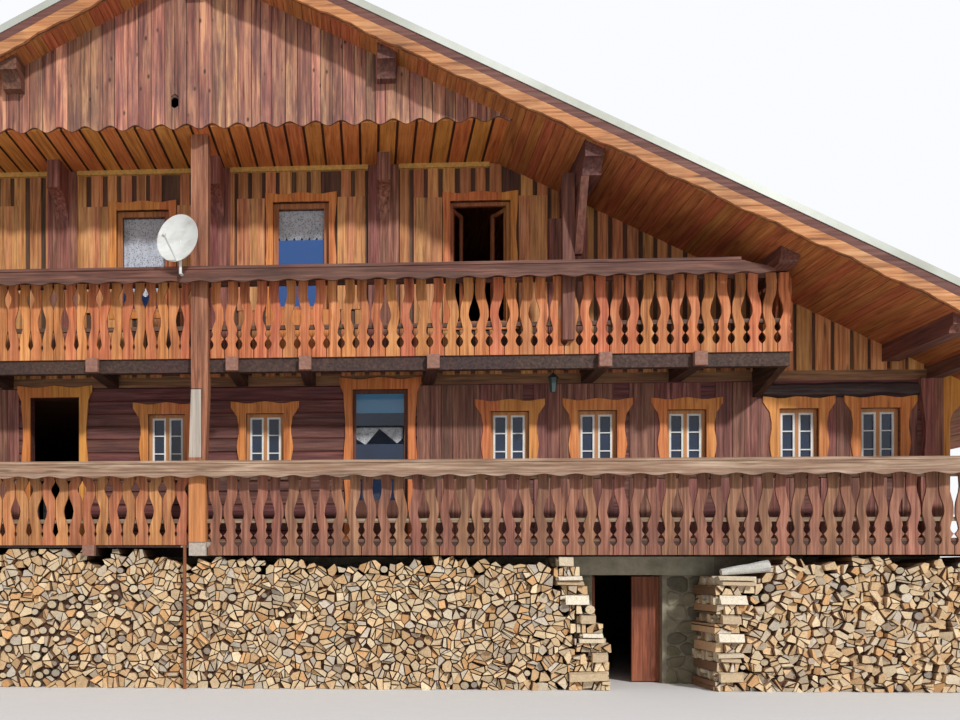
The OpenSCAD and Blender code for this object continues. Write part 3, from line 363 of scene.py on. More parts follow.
def stone(name, colours, moss=0.0, scale=9.0):
    """Rough stone or mortar; colours are those that the stones take by chance"""
    paint = Paint(name)
    speckle = paint.noise(paint.coords, (scale, scale, scale), 8.0, 0.7)
    tone = paint.ranged(speckle, 0.3, 0.7, 0.72, 1.22)
    colour = paint.shade(paint.one_of(colours, paint.island()), tone)
    patch = paint.noise(paint.coords, (1.6, 1.6, 2.4), 5.0, 0.7)
    colour = paint.mix(paint.ranged(patch, 0.5, 0.68, 0.0, moss), colour, moss_green)
    return paint.finish(colour, paint.ranged(speckle, 0.3, 0.7, 0.95, 0.8), 0.7, speckle, 0.012)


def metal(name, base, worn, rough, streak=(2.0, 9.0, 2.0), metallic=0.0):
    """Painted or bare metal with stains that run along it"""
    paint = Paint(name)
    stains = paint.noise(paint.coords, streak, 6.0, 0.6, 0.2)
    colour = paint.mix(paint.ranged(stains, 0.45, 0.75, 0.0, 0.75), base, worn)
    paint.put(paint.shader.inputs["Metallic"], metallic)
    fine = paint.noise(paint.coords, (30, 30, 30), 3.0)
    return paint.finish(colour, paint.ranged(stains, 0.3, 0.7, rough, rough + 0.18), 0.15, fine, 0.002)


def glass(name, tint, second, spans, clear):
    """Dark panes with slightly uneven faces, patches of painted sky reflection in a lighter tint and,
    inside the spans, a second colour that is also a painted reflection of the sky; they show what hangs
    behind them inside the boxes of clear"""
    paint = Paint(name)
    unevenness = paint.noise(paint.coords, (2.2, 2.2, 1.6), 2.0)
    # The sky noise mixes a lighter tint into the panes: a painted reflection of the sky
    sky = paint.noise(paint.coords, (0.9, 0.9, 0.7), 3.0, 0.5)
    lighter = tuple(min(255, 1.5 * c) for c in tint)
    colour = paint.mix(paint.ranged(sky, 0.35, 0.65, 0.0, 1.0), tint, lighter)
    colour = paint.mix(paint.region(*spans), colour, second)
    seen = 0.0
    for box in clear:
        seen = paint.math("MAXIMUM", seen, paint.region(*box))
    paint.put(paint.shader.inputs["Alpha"], paint.ranged(seen, 0.0, 1.0, 0.85, 0.12))
    return paint.finish(colour, paint.ranged(sky, 0.3, 0.7, 0.04, 0.09), 0.06, unevenness, 0.01)


def firewood(name, ends, sides, end_axis):
    """Split logs: the cut ends in one set of colours, the split faces and bark in another"""
    paint = Paint(name)
    chance = paint.island()
    second = paint.math("FRACT", paint.math("MULTIPLY", chance, 9.17))
    normal = paint.node("ShaderNodeTexCoord").outputs["Normal"]
    facing = paint.math("ABSOLUTE", paint.node("ShaderNodeSeparateXYZ", Vector=normal).outputs[end_axis])
    colour = paint.mix(paint.ranged(facing, 0.6, 0.8, 0.0, 1.0), paint.one_of(sides, second),
                       paint.one_of(ends, chance))
    rings = paint.noise(paint.shifted(chance), (26, 26, 26), 4.0, 0.7, 1.5)
    colour = paint.shade(colour, paint.ranged(rings, 0.3, 0.7, 0.66, 1.22))
    colour = paint.shade(colour, paint.ranged(second, 0.0, 1.0, 0.78, 1.08))
    return paint.finish(colour, paint.ranged(rings, 0.3, 0.7, 0.7, 0.9), 0.5, rings, 0.005)


def lace(name):
    """White net with a pattern of holes"""
    paint = Paint(name)
    hole = paint.spots(paint.coords, (38, 1, 38))
    flower = paint.spots(paint.coords, (9, 1, 9))
    petals = paint.ranged(flower, 0.2, 0.32, 1.0, 0.0)
    paint.put(paint.shader.inputs["Alpha"],
              paint.math("MAXIMUM", paint.ranged(hole, 0.2, 0.45, 0.35, 1.0), petals))
    colour = paint.mix(paint.ranged(flower, 0.2, 0.4, 0.0, 0.35), (245, 245, 242), (214, 218, 222))
    return paint.finish(colour, paint.ranged(hole, 0.1, 0.5, 0.75, 0.9), 0.4, hole, 0.002)


def rows(axis, pitch, origin=0.0):
    """Grid of boards side by side along one axis"""
    sizes = tuple(pitch if a == axis else far for a in "xyz")
    return tuple(-far / 2 if size == far else origin for size in sizes), sizes


def fret_grid(side, start, end, pitch):
    """Grid of the fretwork boards from the start to the end, on one side of the centre post"""
    run = end - start
    step = run / round(run / pitch)
    return (side * start, fret_y - 0.02, -far / 2), (step, 0.2, far)


post_side = 0.125 - 0.045
plain_grid = rows("x", far)
log_grid = rows("z", 0.21, middle_z)
joist_grid = rows("x", 0.9, 0.1)
frame_grid = rows("x", 0.9)

upper_fret = dict(dark=(128, 66, 34), base=(196, 114, 62), light=(228, 156, 102), spread=0.16,
                  stain=(120, 66, 40), stained=0.5, knots=0.35)
lower_left_fret = dict(dark=(112, 62, 34), base=(182, 112, 66), light=(214, 152, 104), spread=0.16,
                       stain=(104, 66, 44), stained=0.55, knots=0.35)
lower_right_fret = dict(dark=(84, 50, 36), base=(142, 90, 64), light=(184, 132, 102), spread=0.16,
                        stain=(90, 60, 48), stained=0.55, knots=0.35)
log_tones = dict(dark=(56, 28, 26), base=(106, 58, 50), light=(138, 86, 76), spread=0.16,
                 stain=(74, 42, 42), stained=0.5, knots=0.3, grid=log_grid)
soffit_tones = dict(dark=(120, 62, 30), base=(170, 96, 50), light=(198, 126, 74), spread=0.06,
                    stain=(124, 66, 34), knots=0.4, rough=0.6, grain="y")
surround_tones = dict(dark=(158, 84, 30), base=(216, 130, 56), light=(236, 162, 84), spread=0.08,
                      stain=(158, 92, 42), stained=0.3, knots=0.45, rough=0.55, grid=frame_grid)
# The joists are darkened as painted shade, the shade that falls on the balcony frames under the decks
joist_tones_painted_shade = dict(dark=(30, 16, 10), base=(58, 32, 20), light=(84, 50, 32), stain=(36, 20, 14),
                   stained=0.5, knots=0.4, grain="y", grid=joist_grid)
moss_green = (104, 108, 70)
crack = (40, 26, 22)

fascia_y = verge_y + 0.041
rail_board_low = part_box("upper_balcony_rails")[1].z - 0.3
scarf_x = -0.02
scarf_low = 3.42
scarf_top = 4.42
rail_marks = [((88, 78, 70), 0.6, [("z", rail_board_low, rail_board_low + 0.07)])]
# The joist ends in front of the fretwork are kept lighter: painted sunlight on the ends, against the
# painted shade of the frames
joist_ends_painted_sun = [((150, 106, 88), 0.8, [("y", -20.0, fret_y + 0.002)])]
old_joist = ((182, 172, 158), 0.85, [("x", -0.35, 0.15)])
post_marks = [((204, 132, 72), 0.75, [("z", 0.0, 3.2)]),
              ((178, 170, 156), 0.85, [("z", scarf_low, scarf_top), ("x", -0.6, scarf_x)]),
              (crack, 0.9, [("z", 3.4, 4.43), ("x", scarf_x, scarf_x + 0.012)]),
              (crack, 0.9, [("z", scarf_top, 4.435), ("x", -0.6, scarf_x)])]
door_spans = [("x", 2.0, 3.2), ("z", middle_z, upper_floor_z)]
door_top_reflection_band = ("z", 4.27, 5.0)
flag_low = 3.775
flag_top = 4.05
lace_low = 7.05
front_half = [("y", -far, 0.0)]
dark_pane = (30, 40, 58)
attic_pane = (26, 42, 74)
ledger = 0.07
groove = 0.036
ceiling_pitch = 0.272
# Painted shade darkens the grooves between the ceiling boards; the ledger along the wall takes its own
# pale colour
groove_shade_and_ledger_marks = [((52, 24, 14), 0.95, [("x", ceiling_pitch / 2, ceiling_pitch, groove / 2 + 0.001)]),
                 ((214, 168, 88), 0.9, [("y", front_y - ledger - 0.001, front_y + 0.1),
                                        ("z", ceiling_z - ledger - 0.001, ceiling_z - 0.001)])]

mortar = stone("mortar", [(150, 140, 120)], moss=0.3, scale=14.0)
log_wood = wood("log_front", grain="x", **log_tones)
log_side_wood = wood("log_side", grain="y", **log_tones)
door_wood = wood("door_wood", (78, 36, 22), (138, 72, 42), (170, 100, 64), "z", plain_grid)
floor_wood = wood("floor_wood", (84, 52, 34), (126, 84, 56), (160, 116, 80), "x", rows("z", 0.09))
attic_wall_wood = wood("attic_wall_wood", (48, 28, 18), (84, 52, 32), (110, 72, 46), "z",
                       rows("x", 0.24), marks=[((134, 76, 52), 0.9, [("z", 0.0, upper_z)])])
roof_edge_wood = wood("roof_edge_wood", (110, 62, 34), (168, 104, 58), (198, 140, 88), "x",
                      rows("z", 0.13))
deck_wood = wood("deck_wood", (70, 42, 28), (112, 72, 48), (140, 98, 70), "x", rows("y", 0.15))
cad_materials = {
    "cellar_wall_front_left": mortar,
    "cellar_wall_front_right": mortar,
    "cellar_wall_left": mortar,
    "cellar_wall_right": mortar,
    "cellar_wall_back": mortar,
    "cellar_lintel": stone("lintel_concrete", [(176, 170, 148)], moss=0.3, scale=5.0),
    "cellar_door_left": door_wood,
    "cellar_door_right": door_wood,
    "door_pintles": metal("forged_iron", (46, 42, 40), (84, 58, 46), 0.6, metallic=0.6),
    "middle_floor": floor_wood,
    "upper_floor": floor_wood,
    "middle_wall_front": log_wood,
    "middle_wall_back": log_wood,
    "middle_wall_left": log_side_wood,
    "middle_wall_right": log_side_wood,
    "upper_wall_front": attic_wall_wood,
    "upper_wall_back": attic_wall_wood,
    "roof_left": roof_edge_wood,
    "roof_right": roof_edge_wood,
    "roof_covering": metal("roof_metal", (182, 184, 174), (146, 146, 130), 0.45, (0.5, 5.0, 0.5), 0.25),
    "verge_boards": wood("verge_wood", (116, 66, 42), (180, 110, 70), (212, 152, 104), "x",
                         rows("y", 0.045), stained=0.45,
                         marks=[((92, 56, 50), 0.9, [("y", -fascia_y, fascia_y)])]),
    "purlins": wood("purlin_wood", (58, 32, 26), (104, 60, 44), (140, 90, 66), "y", rows("x", 1.3),
                    stain=(66, 42, 38), stained=0.5, knots=0.4),
    "gable_boarding": wood("screen_wood", (50, 32, 26), (90, 60, 48), (120, 84, 70), "z",
                           rows("x", 0.17)),
    "gable_ceiling": wood("ceiling_wood", (156, 84, 34), (208, 126, 58), (230, 156, 86), "y",
                          rows("x", ceiling_pitch, ceiling_pitch / 2), spread=0.05, stain=(158, 90, 42),
                          rough=0.6, marks=groove_shade_and_ledger_marks),
    "wall_consoles": wood("console_wood", (72, 38, 32), (138, 78, 64), (184, 122, 102), "z",
                          rows("x", 0.16, 0.04), spread=0.2, stained=0.4, knots=0.4),
    "gallery_arches": wood("arch_wood", **surround_tones),
    "centre_post": wood("post_wood", (84, 46, 30), (146, 88, 58), (184, 128, 92), "z", plain_grid,
                        stained=0.5, marks=post_marks),
    "side_posts": wood("side_post_wood", (58, 28, 22), (104, 56, 40), (134, 82, 58), "z", plain_grid),
    "upper_balcony_deck": deck_wood,
    "lower_balcony_deck": deck_wood,
    "upper_balcony_joists": wood("joist_wood", marks=joist_ends_painted_sun, **joist_tones_painted_shade),
    "lower_balcony_joists": wood("low_joist_wood", marks=joist_ends_painted_sun + [old_joist], **joist_tones_painted_shade),
    "upper_balustrade_right": wood("fret_wood_1", **upper_fret,
                                   grid=fret_grid(1, post_side + 0.012, upper_balcony_x, 0.217)),
    "upper_balustrade_left": wood("fret_wood_2", **upper_fret,
                                  grid=fret_grid(-1, 0.182, upper_balcony_x, 0.172)),
    "lower_balustrade_right": wood("fret_wood_3", **lower_right_fret,
                                   grid=fret_grid(1, 0.057, gallery_x, 0.228)),
    "lower_balustrade_left": wood("fret_wood_4", **lower_left_fret,
                                  grid=fret_grid(-1, 0.217, gallery_x, 0.202)),
    "upper_balcony_rails": wood("upper_rail_wood", (42, 24, 18), (86, 50, 36), (126, 80, 60), "x",
                                rows("z", 0.2), stained=0.5, marks=rail_marks),
    "lower_balcony_rails": wood("lower_rail_wood", (84, 62, 48), (146, 118, 94), (194, 168, 142), "x",
                                rows("z", 0.2), stain=(128, 90, 64), stained=0.6),
    "window_surrounds": wood("surround_wood", **surround_tones),
    "window_frames": wood("frame_wood", (130, 72, 36), (184, 112, 60), (206, 140, 84), "z", frame_grid,
                          spread=0.1, marks=[((208, 146, 90), 0.75, [("z", middle_z, upper_floor_z)]),
                                             ((78, 34, 30), 0.9, door_spans)]),
    # The second colours of the glass are painted reflections of the sky: at the top of the glazed door,
    # and on the lower front attic panes
    "middle_glazing": glass("dark_glass", dark_pane, (96, 148, 186), door_spans + [door_top_reflection_band],
                            [door_spans + [("z", flag_low, flag_top + 0.02)]]),
    "upper_glazing": glass("attic_glass", attic_pane, (44, 88, 152), front_half + [("z", 0.0, lace_low)],
                           [front_half + [("x", -far, 0.0)], front_half + [("z", lace_low, ceiling_z)]]),
    "shutters": wood("shutter_wood", (126, 74, 40), (206, 138, 84), (236, 176, 118), "z",
                     rows("x", 0.11), spread=0.12),
    "satellite_dish": metal("dish_paint", (222, 222, 216), (170, 168, 158), 0.45, (3.0, 3.0, 6.0)),
    "lantern": metal("lantern_paint", (44, 58, 54), (84, 92, 84), 0.4),
    "stack_pole": metal("rust", (126, 72, 42), (176, 112, 60), 0.75, (8.0, 8.0, 1.2)),
    "woodpile_left": floor_wood,
    "woodpile_right": floor_wood,
}
for name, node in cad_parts.items():
    node.data.materials.clear()
    node.data.materials.append(cad_materials[name])

attic_board_wood = wood("attic_board_wood", (128, 74, 40), (196, 128, 74), (226, 168, 108), spread=0.2,
                        stain=(140, 86, 50), stained=0.4, knots=0.6)
cladding_wood = wood("cladding_wood", (70, 36, 32), (128, 76, 62), (174, 118, 98), spread=0.18,
                     knots=0.4)
head_log_wood = wood("head_log_wood", (30, 22, 22), (54, 38, 36), (84, 64, 58), "x", spread=0.1)
gable_wood = wood("gable_wood", (82, 50, 44), (152, 96, 76), (206, 144, 108), spread=0.3,
                  stain=(96, 66, 66), stained=0.7, knots=0.85, bands=(226, 168, 122),
                  blotches=(5.0, 5.0, 1.5), knot_places=(5.5, 5.5, 3.0))
soffit_wood = wood("soffit_wood", **soffit_tones)
white_paint = metal("white_paint", (232, 232, 226), (196, 196, 188), 0.5, (6.0, 6.0, 6.0))
lace_net = lace("lace_net")


# Boards and planks
def board_outlines(a, b, low, top, cuts):
    """Outlines of the upright board from a to b, up to the line top, with openings (u0, u1, z0, z1) cut
    out; the jamb of an opening stands in for the board at its right edge"""
    for u0, u1, z0, z1 in cuts:
        if u1 <= a or u0 >= b or z0 >= min(top(a), top(b)):
            continue
        if u0 <= a and u1 >= b:
            above = [(a, z1), (b, z1), (b, top(b)), (a, top(a))]
            below = [(a, low), (b, low), (b, z0), (a, z0)]
            return [above] + ([below] if z0 > low + 0.02 else [])
        if u0 <= a:
            return []
        foot = [(b, low), (b, z0), (u0, z0)] if z0 > low + 0.02 else [(u0, low)]
        return [[(a, low)] + foot + [(u0, z1), (b, z1), (b, top(b)), (a, top(a))]]
    return [[(a, low), (b, low), (b, top(b)), (a, top(a))]]


def upright_boards(shapes, place, start, end, pitch, share, thick, low, top, cuts, rng, vary=0.12):
    """Boards from start to end; share is the part of the pitch that a board fills"""
    u = start
    while u < end - 0.3 * pitch:
        step = pitch * rng.uniform(1 - vary, 1 + vary)
        width = min(step * share, end - u)
        proud = thick * rng.uniform(0.8, 1.0)
        for outline in board_outlines(u, u + width, low, top, cuts):
            if min(p[1] for p in outline[-2:]) > low:
                shapes.plate(place, outline, -proud, 0.0)
        u += step


def level(z):
    return lambda u: z


def under_roof(cap):
    return lambda u: min(soffit(u) - 0.004, cap)


def attic_boards(rng):
    """Wide boards on both attic gables, with gaps between them that show the wall"""
    pitch = 0.24
    share = 0.7
    outer_pitch = 0.27
    outer_share = 0.8
    low = upper_z - 0.03
    inner_x = upper_balcony_x + 0.02
    end_x = half_w - 0.25
    shapes = Shapes()
    upright_boards(shapes, on_front, -upper_balcony_x, upper_balcony_x, pitch, share, board_t, low,
                   under_roof(ceiling_z), holes([left_window, right_window] + casement_windows), rng)
    for side in (-1, 1):
        ends = sorted((side * inner_x, side * end_x))
        upright_boards(shapes, on_front, *ends, outer_pitch, outer_share, board_t, low,
                       under_roof(ceiling_z), [], rng)
    shapes.piece("attic_boards_front", "wall_boards", attic_board_wood)
    shapes = Shapes()
    upright_boards(shapes, walls["back"], -end_x, end_x, pitch, share, board_t, low,
                   under_roof(soffit_ridge_z), holes(back_upper_windows), rng)
    shapes.piece("attic_boards_back", "wall_boards", attic_board_wood)


def attic_apron():
    """Four short boards under the right attic window"""
    shapes = Shapes()
    wall, u, width, sill, head = right_window
    wider = 0.1
    gap = 0.003
    thick = 0.034
    board_w = (width + 2 * wider) / 4
    low = upper_z + 0.075
    for i in range(4):
        left = u - width / 2 - wider + i * board_w
        shapes.box(on_front, left + gap, left + board_w - gap, -thick, 0.0, low, sill - 0.06)
    shapes.piece("attic_apron", "surround_wood", cad_materials["window_surrounds"])


def log_storey_boards(rng):
    """Boards over the log wall beside the balcony doors, lower where the head logs lie above them"""
    shapes = Shapes()
    cuts = holes(middle_windows + [hall_door, glazed_door])
    low = middle_z + 0.04
    pitch = 0.21
    share = 0.965
    thick = 0.02
    stretches = ((3.2, head_log_x, upper_floor_z - 0.02),
                 (head_log_x, half_w - corner_strip, upper_floor_z - 0.28))
    for side in (-1, 1):
        for near, far_end, top in stretches:
            ends = sorted((side * near, side * far_end))
            upright_boards(shapes, on_front, *ends, pitch, share, thick, low, level(top), cuts, rng,
                           vary=0.25)
    shapes.piece("log_storey_boards", "log_wood", cladding_wood)


def head_logs():
    """The uneven round log over the outer windows, above the boards"""
    shapes = Shapes()
    steps = 14
    wall_y = front_y + 0.01
    for side in (-1, 1):
        rng = random.Random(19)
        rings = []
        for i in range(steps + 1):
            x = side * (head_log_x + (half_w - 0.3 - head_log_x) * i / steps)
            low = upper_floor_z - 0.27 + rng.uniform(-0.02, 0.02)
            high = upper_floor_z - 0.03 + rng.uniform(-0.01, 0.01)
            proud = 0.085 + rng.uniform(-0.012, 0.012)
            shoulder_y = front_y - 0.8 * proud
            rings.append([(x, wall_y, low), (x, shoulder_y, low + 0.05),
                          (x, front_y - proud, (low + high) / 2), (x, shoulder_y, high - 0.05),
                          (x, wall_y, high)])
        points, ends, sides = loft(rings)
        shapes.add(points, sides + ends)
    shapes.piece("head_logs", "log_wood", head_log_wood)


board_t = 0.026
head_log_x = 8.45
board_rng = random.Random(11)
attic_boards(board_rng)
attic_apron()
log_storey_boards(board_rng)
head_logs()


def gable_boards():
    """Weathered boards of the screen, with scalloped lower ends and a slot between two of them"""
    half = (soffit_ridge_z - ceiling_z) / slope
    widths = (0.13, 0.2)
    scallop_w = 0.38
    scallop_depth = 0.038
    cycles = round(2 * half / scallop_w)
    slot_u = -0.355
    slot_z = ceiling_z + 0.37
    slot_w = 0.05
    slot = [(0.0, -0.11), (slot_w, -0.08), (slot_w, 0.06), (0.0, 0.1)]
    gap = 0.005
    steps = 6
    rng = random.Random(5)
    edges = [slot_u]
    while edges[-1] < half - 0.1:
        edges.append(edges[-1] + rng.uniform(*widths))
    while edges[0] > -half + 0.1:
        edges.insert(0, edges[0] - rng.uniform(*widths))
    shapes = Shapes()

    def low(u):
        turn = 2 * math.pi * (u + half) / (2 * half) * cycles
        return ceiling_z - scallop_depth * math.cos(turn) - 0.006

    for a, b in zip(edges, edges[1:]):
        a = max(a + gap, -half + 0.005)
        b = min(b - gap, half - 0.005)
        if b - a < 0.04:
            continue
        bottom = [(a + (b - a) * i / steps, low(a + (b - a) * i / steps)) for i in range(steps + 1)]
        top = [(u, max(soffit(u) - 0.003, low(u) + 0.01)) for u in (b, a)]
        if abs(b - slot_u) < 0.02:
            top = [(b - u, slot_z + z) for u, z in slot] + top
        if abs(a - slot_u) < 0.02:
            top += [(a + u, slot_z + z) for u, z in reversed(slot)]
        shapes.plate(on_screen, bottom + top, -rng.uniform(0.014, 0.026), 0.0)
    shapes.piece("gable_boards", "gable_boards", gable_wood)


def soffit_boards():
    """Boards along Y under both slopes, in lengths with butt joints"""
    rng = random.Random(3)
    pitch = 0.135
    lengths = (2.6, 5.2)
    for side, name in ((-1, "left"), (1, "right")):
        shapes = Shapes()
        x = 0.02
        while x < eaves_x - 0.05:
            x1 = min(x + pitch - 0.006, eaves_x - 0.004)
            y = -verge_y
            while y < verge_y:
                y1 = min(y + rng.uniform(*lengths), verge_y)
                drop = rng.uniform(0.012, 0.018)
                outline = [(side * x, soffit(x) + 0.002), (side * x1, soffit(x1) + 0.002),
                           (side * x1, soffit(x1) - drop), (side * x, soffit(x) - drop)]
                shapes.plate(along_y, outline, y + 0.002, y1 - 0.002)
                y = y1
            x += pitch
        shapes.piece(f"soffit_boards_{name}", "roof_boards", soffit_wood)


def roof_seams():
    """Standing seams down both slopes of the metal roof"""
    shapes = Shapes()
    pitch = 0.55
    low = roof_t + sheet_t
    start = 0.22
    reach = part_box("roof_covering")[1].x - 0.02
    sunk = -0.004
    high = 0.028
    half_t = 0.009
    corners = ((start, sunk), (reach, sunk), (reach, high), (start, high))
    y = -verge_y + 0.25
    while y < verge_y:
        for side in (-1, 1):
            outline = [(side * x, soffit(x) + low + rise) for x, rise in corners]
            shapes.plate(along_y, outline, y - half_t, y + half_t)
        y += pitch
    shapes.piece("roof_seams", "sheet_metal", cad_materials["roof_covering"])


gable_boards()
soffit_boards()
roof_seams()


# Cells of a jittered grid, used for split logs and for rubble stones
def clipped(outline, px, pz, nx, nz, limit):
    """The part of an outline where (u - px) * nx + (z - pz) * nz is at most limit"""
    kept = []
    for (u0, z0), (u1, z1) in zip(outline, outline[1:] + outline[:1]):
        d0 = (u0 - px) * nx + (z0 - pz) * nz - limit
        d1 = (u1 - px) * nx + (z1 - pz) * nz - limit
        if d0 <= 0:
            kept.append((u0, z0))
        if (d0 < 0 < d1) or (d1 < 0 < d0):
            t = d0 / (d0 - d1)
            kept.append((u0 + (u1 - u0) * t, z0 + (z1 - z0) * t))
    return kept


def centre_of(outline):
    return sum(p[0] for p in outline) / len(outline), sum(p[1] for p in outline) / len(outline)


def cells(u0, u1, z0, z1, pitch, gap, jitter, rng, stretch=1.0):
    """Convex cells with even gaps that fill a rectangle, longer than high by the factor stretch"""
    columns = max(1, round((u1 - u0) / (pitch * stretch)))
    lines = max(1, round((z1 - z0) / pitch))
    du = (u1 - u0) / columns
    dz = (z1 - z0) / lines
    seeds = {}
    for i in range(columns):
        for j in range(lines):
            shift = 0.25 * du * (1 if j % 2 else -1)
            seeds[i, j] = (u0 + (i + 0.5 + rng.uniform(-jitter, jitter)) * du + shift,
                           z0 + (j + 0.5 + rng.uniform(-jitter, jitter)) * dz)
    made = []
    for (i, j), (u, z) in seeds.items():
        outline = [(u0, z0), (u1, z0), (u1, z1), (u0, z1)]
        near = [(k, m) for k in range(i - 3, i + 4) for m in range(j - 2, j + 3)]
        for other_u, other_z in [seeds[cell] for cell in near if cell in seeds and cell != (i, j)]:
            nx = (other_u - u) / stretch ** 2
            nz = other_z - z
            size = math.hypot(nx, nz)
            nx /= size
            nz /= size
            middle = ((other_u - u) * nx + (other_z - z) * nz) / 2
            outline = clipped(outline, u, z, nx, nz, middle - gap / 2)
            if len(outline) < 3:
                break
        else:
            made.append(outline)
    return made


def rounded(outline, share=0.22):
    """Each corner cut off once"""
    made = []
    for (u0, z0), (u1, z1) in zip(outline, outline[1:] + outline[:1]):
        made.append((u0 + (u1 - u0) * share, z0 + (z1 - z0) * share))
        made.append((u1 - (u1 - u0) * share, z1 - (z1 - z0) * share))
    return made


def add_stones(shapes, place, u0, u1, z0, z1, rng, size=0.26):
    """Rubble stones that stand out of a wall, each with a bevelled rim"""
    for outline in cells(u0, u1, z0, z1, size, gap=0.024, jitter=0.36, rng=rng, stretch=1.35):
        outline = rounded(outline)
        u, z = centre_of(outline)
        proud = rng.uniform(0.018, 0.045)
        tilt = rng.uniform(-0.05, 0.05)
        base = [place(p, 0.01, q) for p, q in outline]
        rim = [place(p, -0.55 * proud, q) for p, q in outline]
        face = [place(u + 0.8 * (p - u), -proud + tilt * (p - u), z + 0.8 * (q - z)) for p, q in outline]
        points, ends, sides = loft([base, rim, face])
        shapes.add(points, ends + sides)


def rubble():
    """Stones of the cellar walls; at the front only those beside the doorway show"""
    stone_tones = [(146, 136, 116), (166, 158, 142), (124, 116, 104), (156, 138, 112), (134, 132, 116),
                   (176, 166, 148)]
    moss_tones = [(122, 114, 92), (136, 126, 102), (104, 98, 82), (146, 138, 116)]
    stones = stone("rubble", stone_tones, moss=0.2)
    mossy_stones = stone("mossy_rubble", moss_tones, moss=0.6)
    spans = {"back": (-half_w, half_w), "left": (front_y, back_y), "right": (front_y, back_y)}
    rng = random.Random(17)
    for wall, (start, end) in spans.items():
        shapes = Shapes()
        add_stones(shapes, walls[wall], start, end, 0.0, cellar_h - 0.01, rng)
        shapes.piece(f"{wall}_wall_stones", "rubble_stone", stones)
    shapes = Shapes()
    top = 1.67
    for start, end in ((door_x1 + 0.07, door_x1 + 0.85), (door_x0 - 0.8, door_x0 - 0.01)):
        add_stones(shapes, on_front, start, end, 0.0, top, rng, size=0.2)
    shapes.piece("doorway_stones", "rubble_stone", mossy_stones)


rubble()


# Firewood
right_stack_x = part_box("woodpile_right")[0].x
pole_x = (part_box("stack_pole")[0].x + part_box("stack_pole")[1].x) / 2
low_end_x = right_stack_x + 0.75
joist_xs = (-11.0, -9.3, -7.4, -5.5, -3.6, -1.71, -0.33)
log_length = 1.12
hind_depths = (0.19, 1.1)
end_depth = 1.02
# Areas and radius of the log ends: smaller ones are left out, and only wide ones are split
least_cell = 0.0016
least_part = 0.0012
wide_cell = 0.009
least_radius = 0.028
split_gap = 0.012
courses = 14
course_h = stack_h / courses
end_tones = [(222, 192, 150), (230, 206, 168), (212, 178, 134), (208, 190, 162), (206, 168, 122),
             (224, 186, 140), (190, 170, 144), (226, 200, 160), (214, 190, 154), (216, 166, 112),
             (204, 190, 170), (218, 186, 142)]
side_tones = [(150, 110, 78), (190, 150, 110), (124, 92, 66), (206, 168, 126)]
round_tones = [(196, 178, 150), (164, 150, 134), (210, 190, 156), (222, 198, 160)]
split_end_tones = [(222, 196, 158), (204, 170, 128), (232, 212, 176), (170, 140, 108)]
split_side_tones = [(228, 208, 176), (212, 186, 148), (236, 222, 198), (190, 166, 134)]
cut_ends = firewood("cut_ends", end_tones, side_tones, 1)
grey_rounds = firewood("grey_rounds", round_tones, [(104, 92, 80), (88, 76, 66)], 1)
split_faces = firewood("split_faces", split_end_tones, split_side_tones, 0)
grey_bark = firewood("grey_bark", [(214, 196, 168)], [(206, 202, 192), (190, 186, 176)], 0)
brown_bark = firewood("bark_rows", [(112, 78, 54)], [(104, 74, 52)], 1)


def add_log(shapes, outline, rng):
    """A log whose end is cut askew, a little smaller than its cell"""
    tilt = (rng.uniform(-0.42, 0.42), rng.uniform(-0.42, 0.42))
    u, z = centre_of(outline)
    size = rng.uniform(0.85, 1.0)
    outline = [(u + size * (p[0] - u), z + size * (p[1] - z)) for p in outline]
    shapes.plate(on_stack, outline, rng.uniform(0.03, 0.15), log_length, tilt)


def cut_once(outline, rng, share):
    """The outline without a slice past a random line; share is how far from its middle the line lies"""
    u, z = centre_of(outline)
    turn = rng.uniform(0, 2 * math.pi)
    nx = math.cos(turn)
    nz = math.sin(turn)
    reach = max((p[0] - u) * nx + (p[1] - z) * nz for p in outline)
    return clipped(outline, u, z, nx, nz, share * reach), (u, z, nx, nz, share * reach)


def split_in_two(outline, rng):
    """Both halves of an outline, with a gap between them"""
    kept, (u, z, nx, nz, limit) = cut_once(outline, rng, rng.uniform(-0.1, 0.25))
    other = clipped(outline, u, z, -nx, -nz, -limit - split_gap)
    return [half for half in (kept, other) if len(half) >= 3]


def area_of(outline):
    return abs(sum(p[0] * q[1] - q[0] * p[1] for p, q in zip(outline, outline[1:] + outline[:1]))) / 2


def round_in(outline, sides=9):
    """The largest round log that fits in a cell, and its radius"""
    u, z = centre_of(outline)
    radius = min(abs((p[0] - u) * (q[1] - p[1]) - (p[1] - z) * (q[0] - p[0])) / math.dist(p, q)
                 for p, q in zip(outline, outline[1:] + outline[:1]) if p != q)
    wide = 1.12 * radius
    turns = [2 * math.pi * i / sides for i in range(sides)]
    return [(u + wide * math.cos(a), z + radius * math.sin(a)) for a in turns], radius


def log_cells(split, rounds, outlines, rng, round_share):
    """Log ends in the cells: round, split in two or three, or cut to a wedge"""
    for outline in outlines:
        if len(outline) < 3 or area_of(outline) < least_cell:
            continue
        kind = rng.random()
        if kind < round_share(*centre_of(outline)):
            shape, radius = round_in(outline)
            if radius > least_radius:
                add_log(rounds, shape, rng)
                continue
        if kind < 0.75 and area_of(outline) > wide_cell:
            parts = split_in_two(outline, rng)
        else:
            parts = [cut_once(outline, rng, rng.uniform(0.4, 0.75))[0]]
        if kind < 0.3 and len(parts) == 2:
            wide = max(parts, key=area_of)
            parts.remove(wide)
            parts += split_in_two(wide, rng)
        for part in parts:
            if len(part) >= 3 and area_of(part) > least_part:
                add_log(split, part, rng)


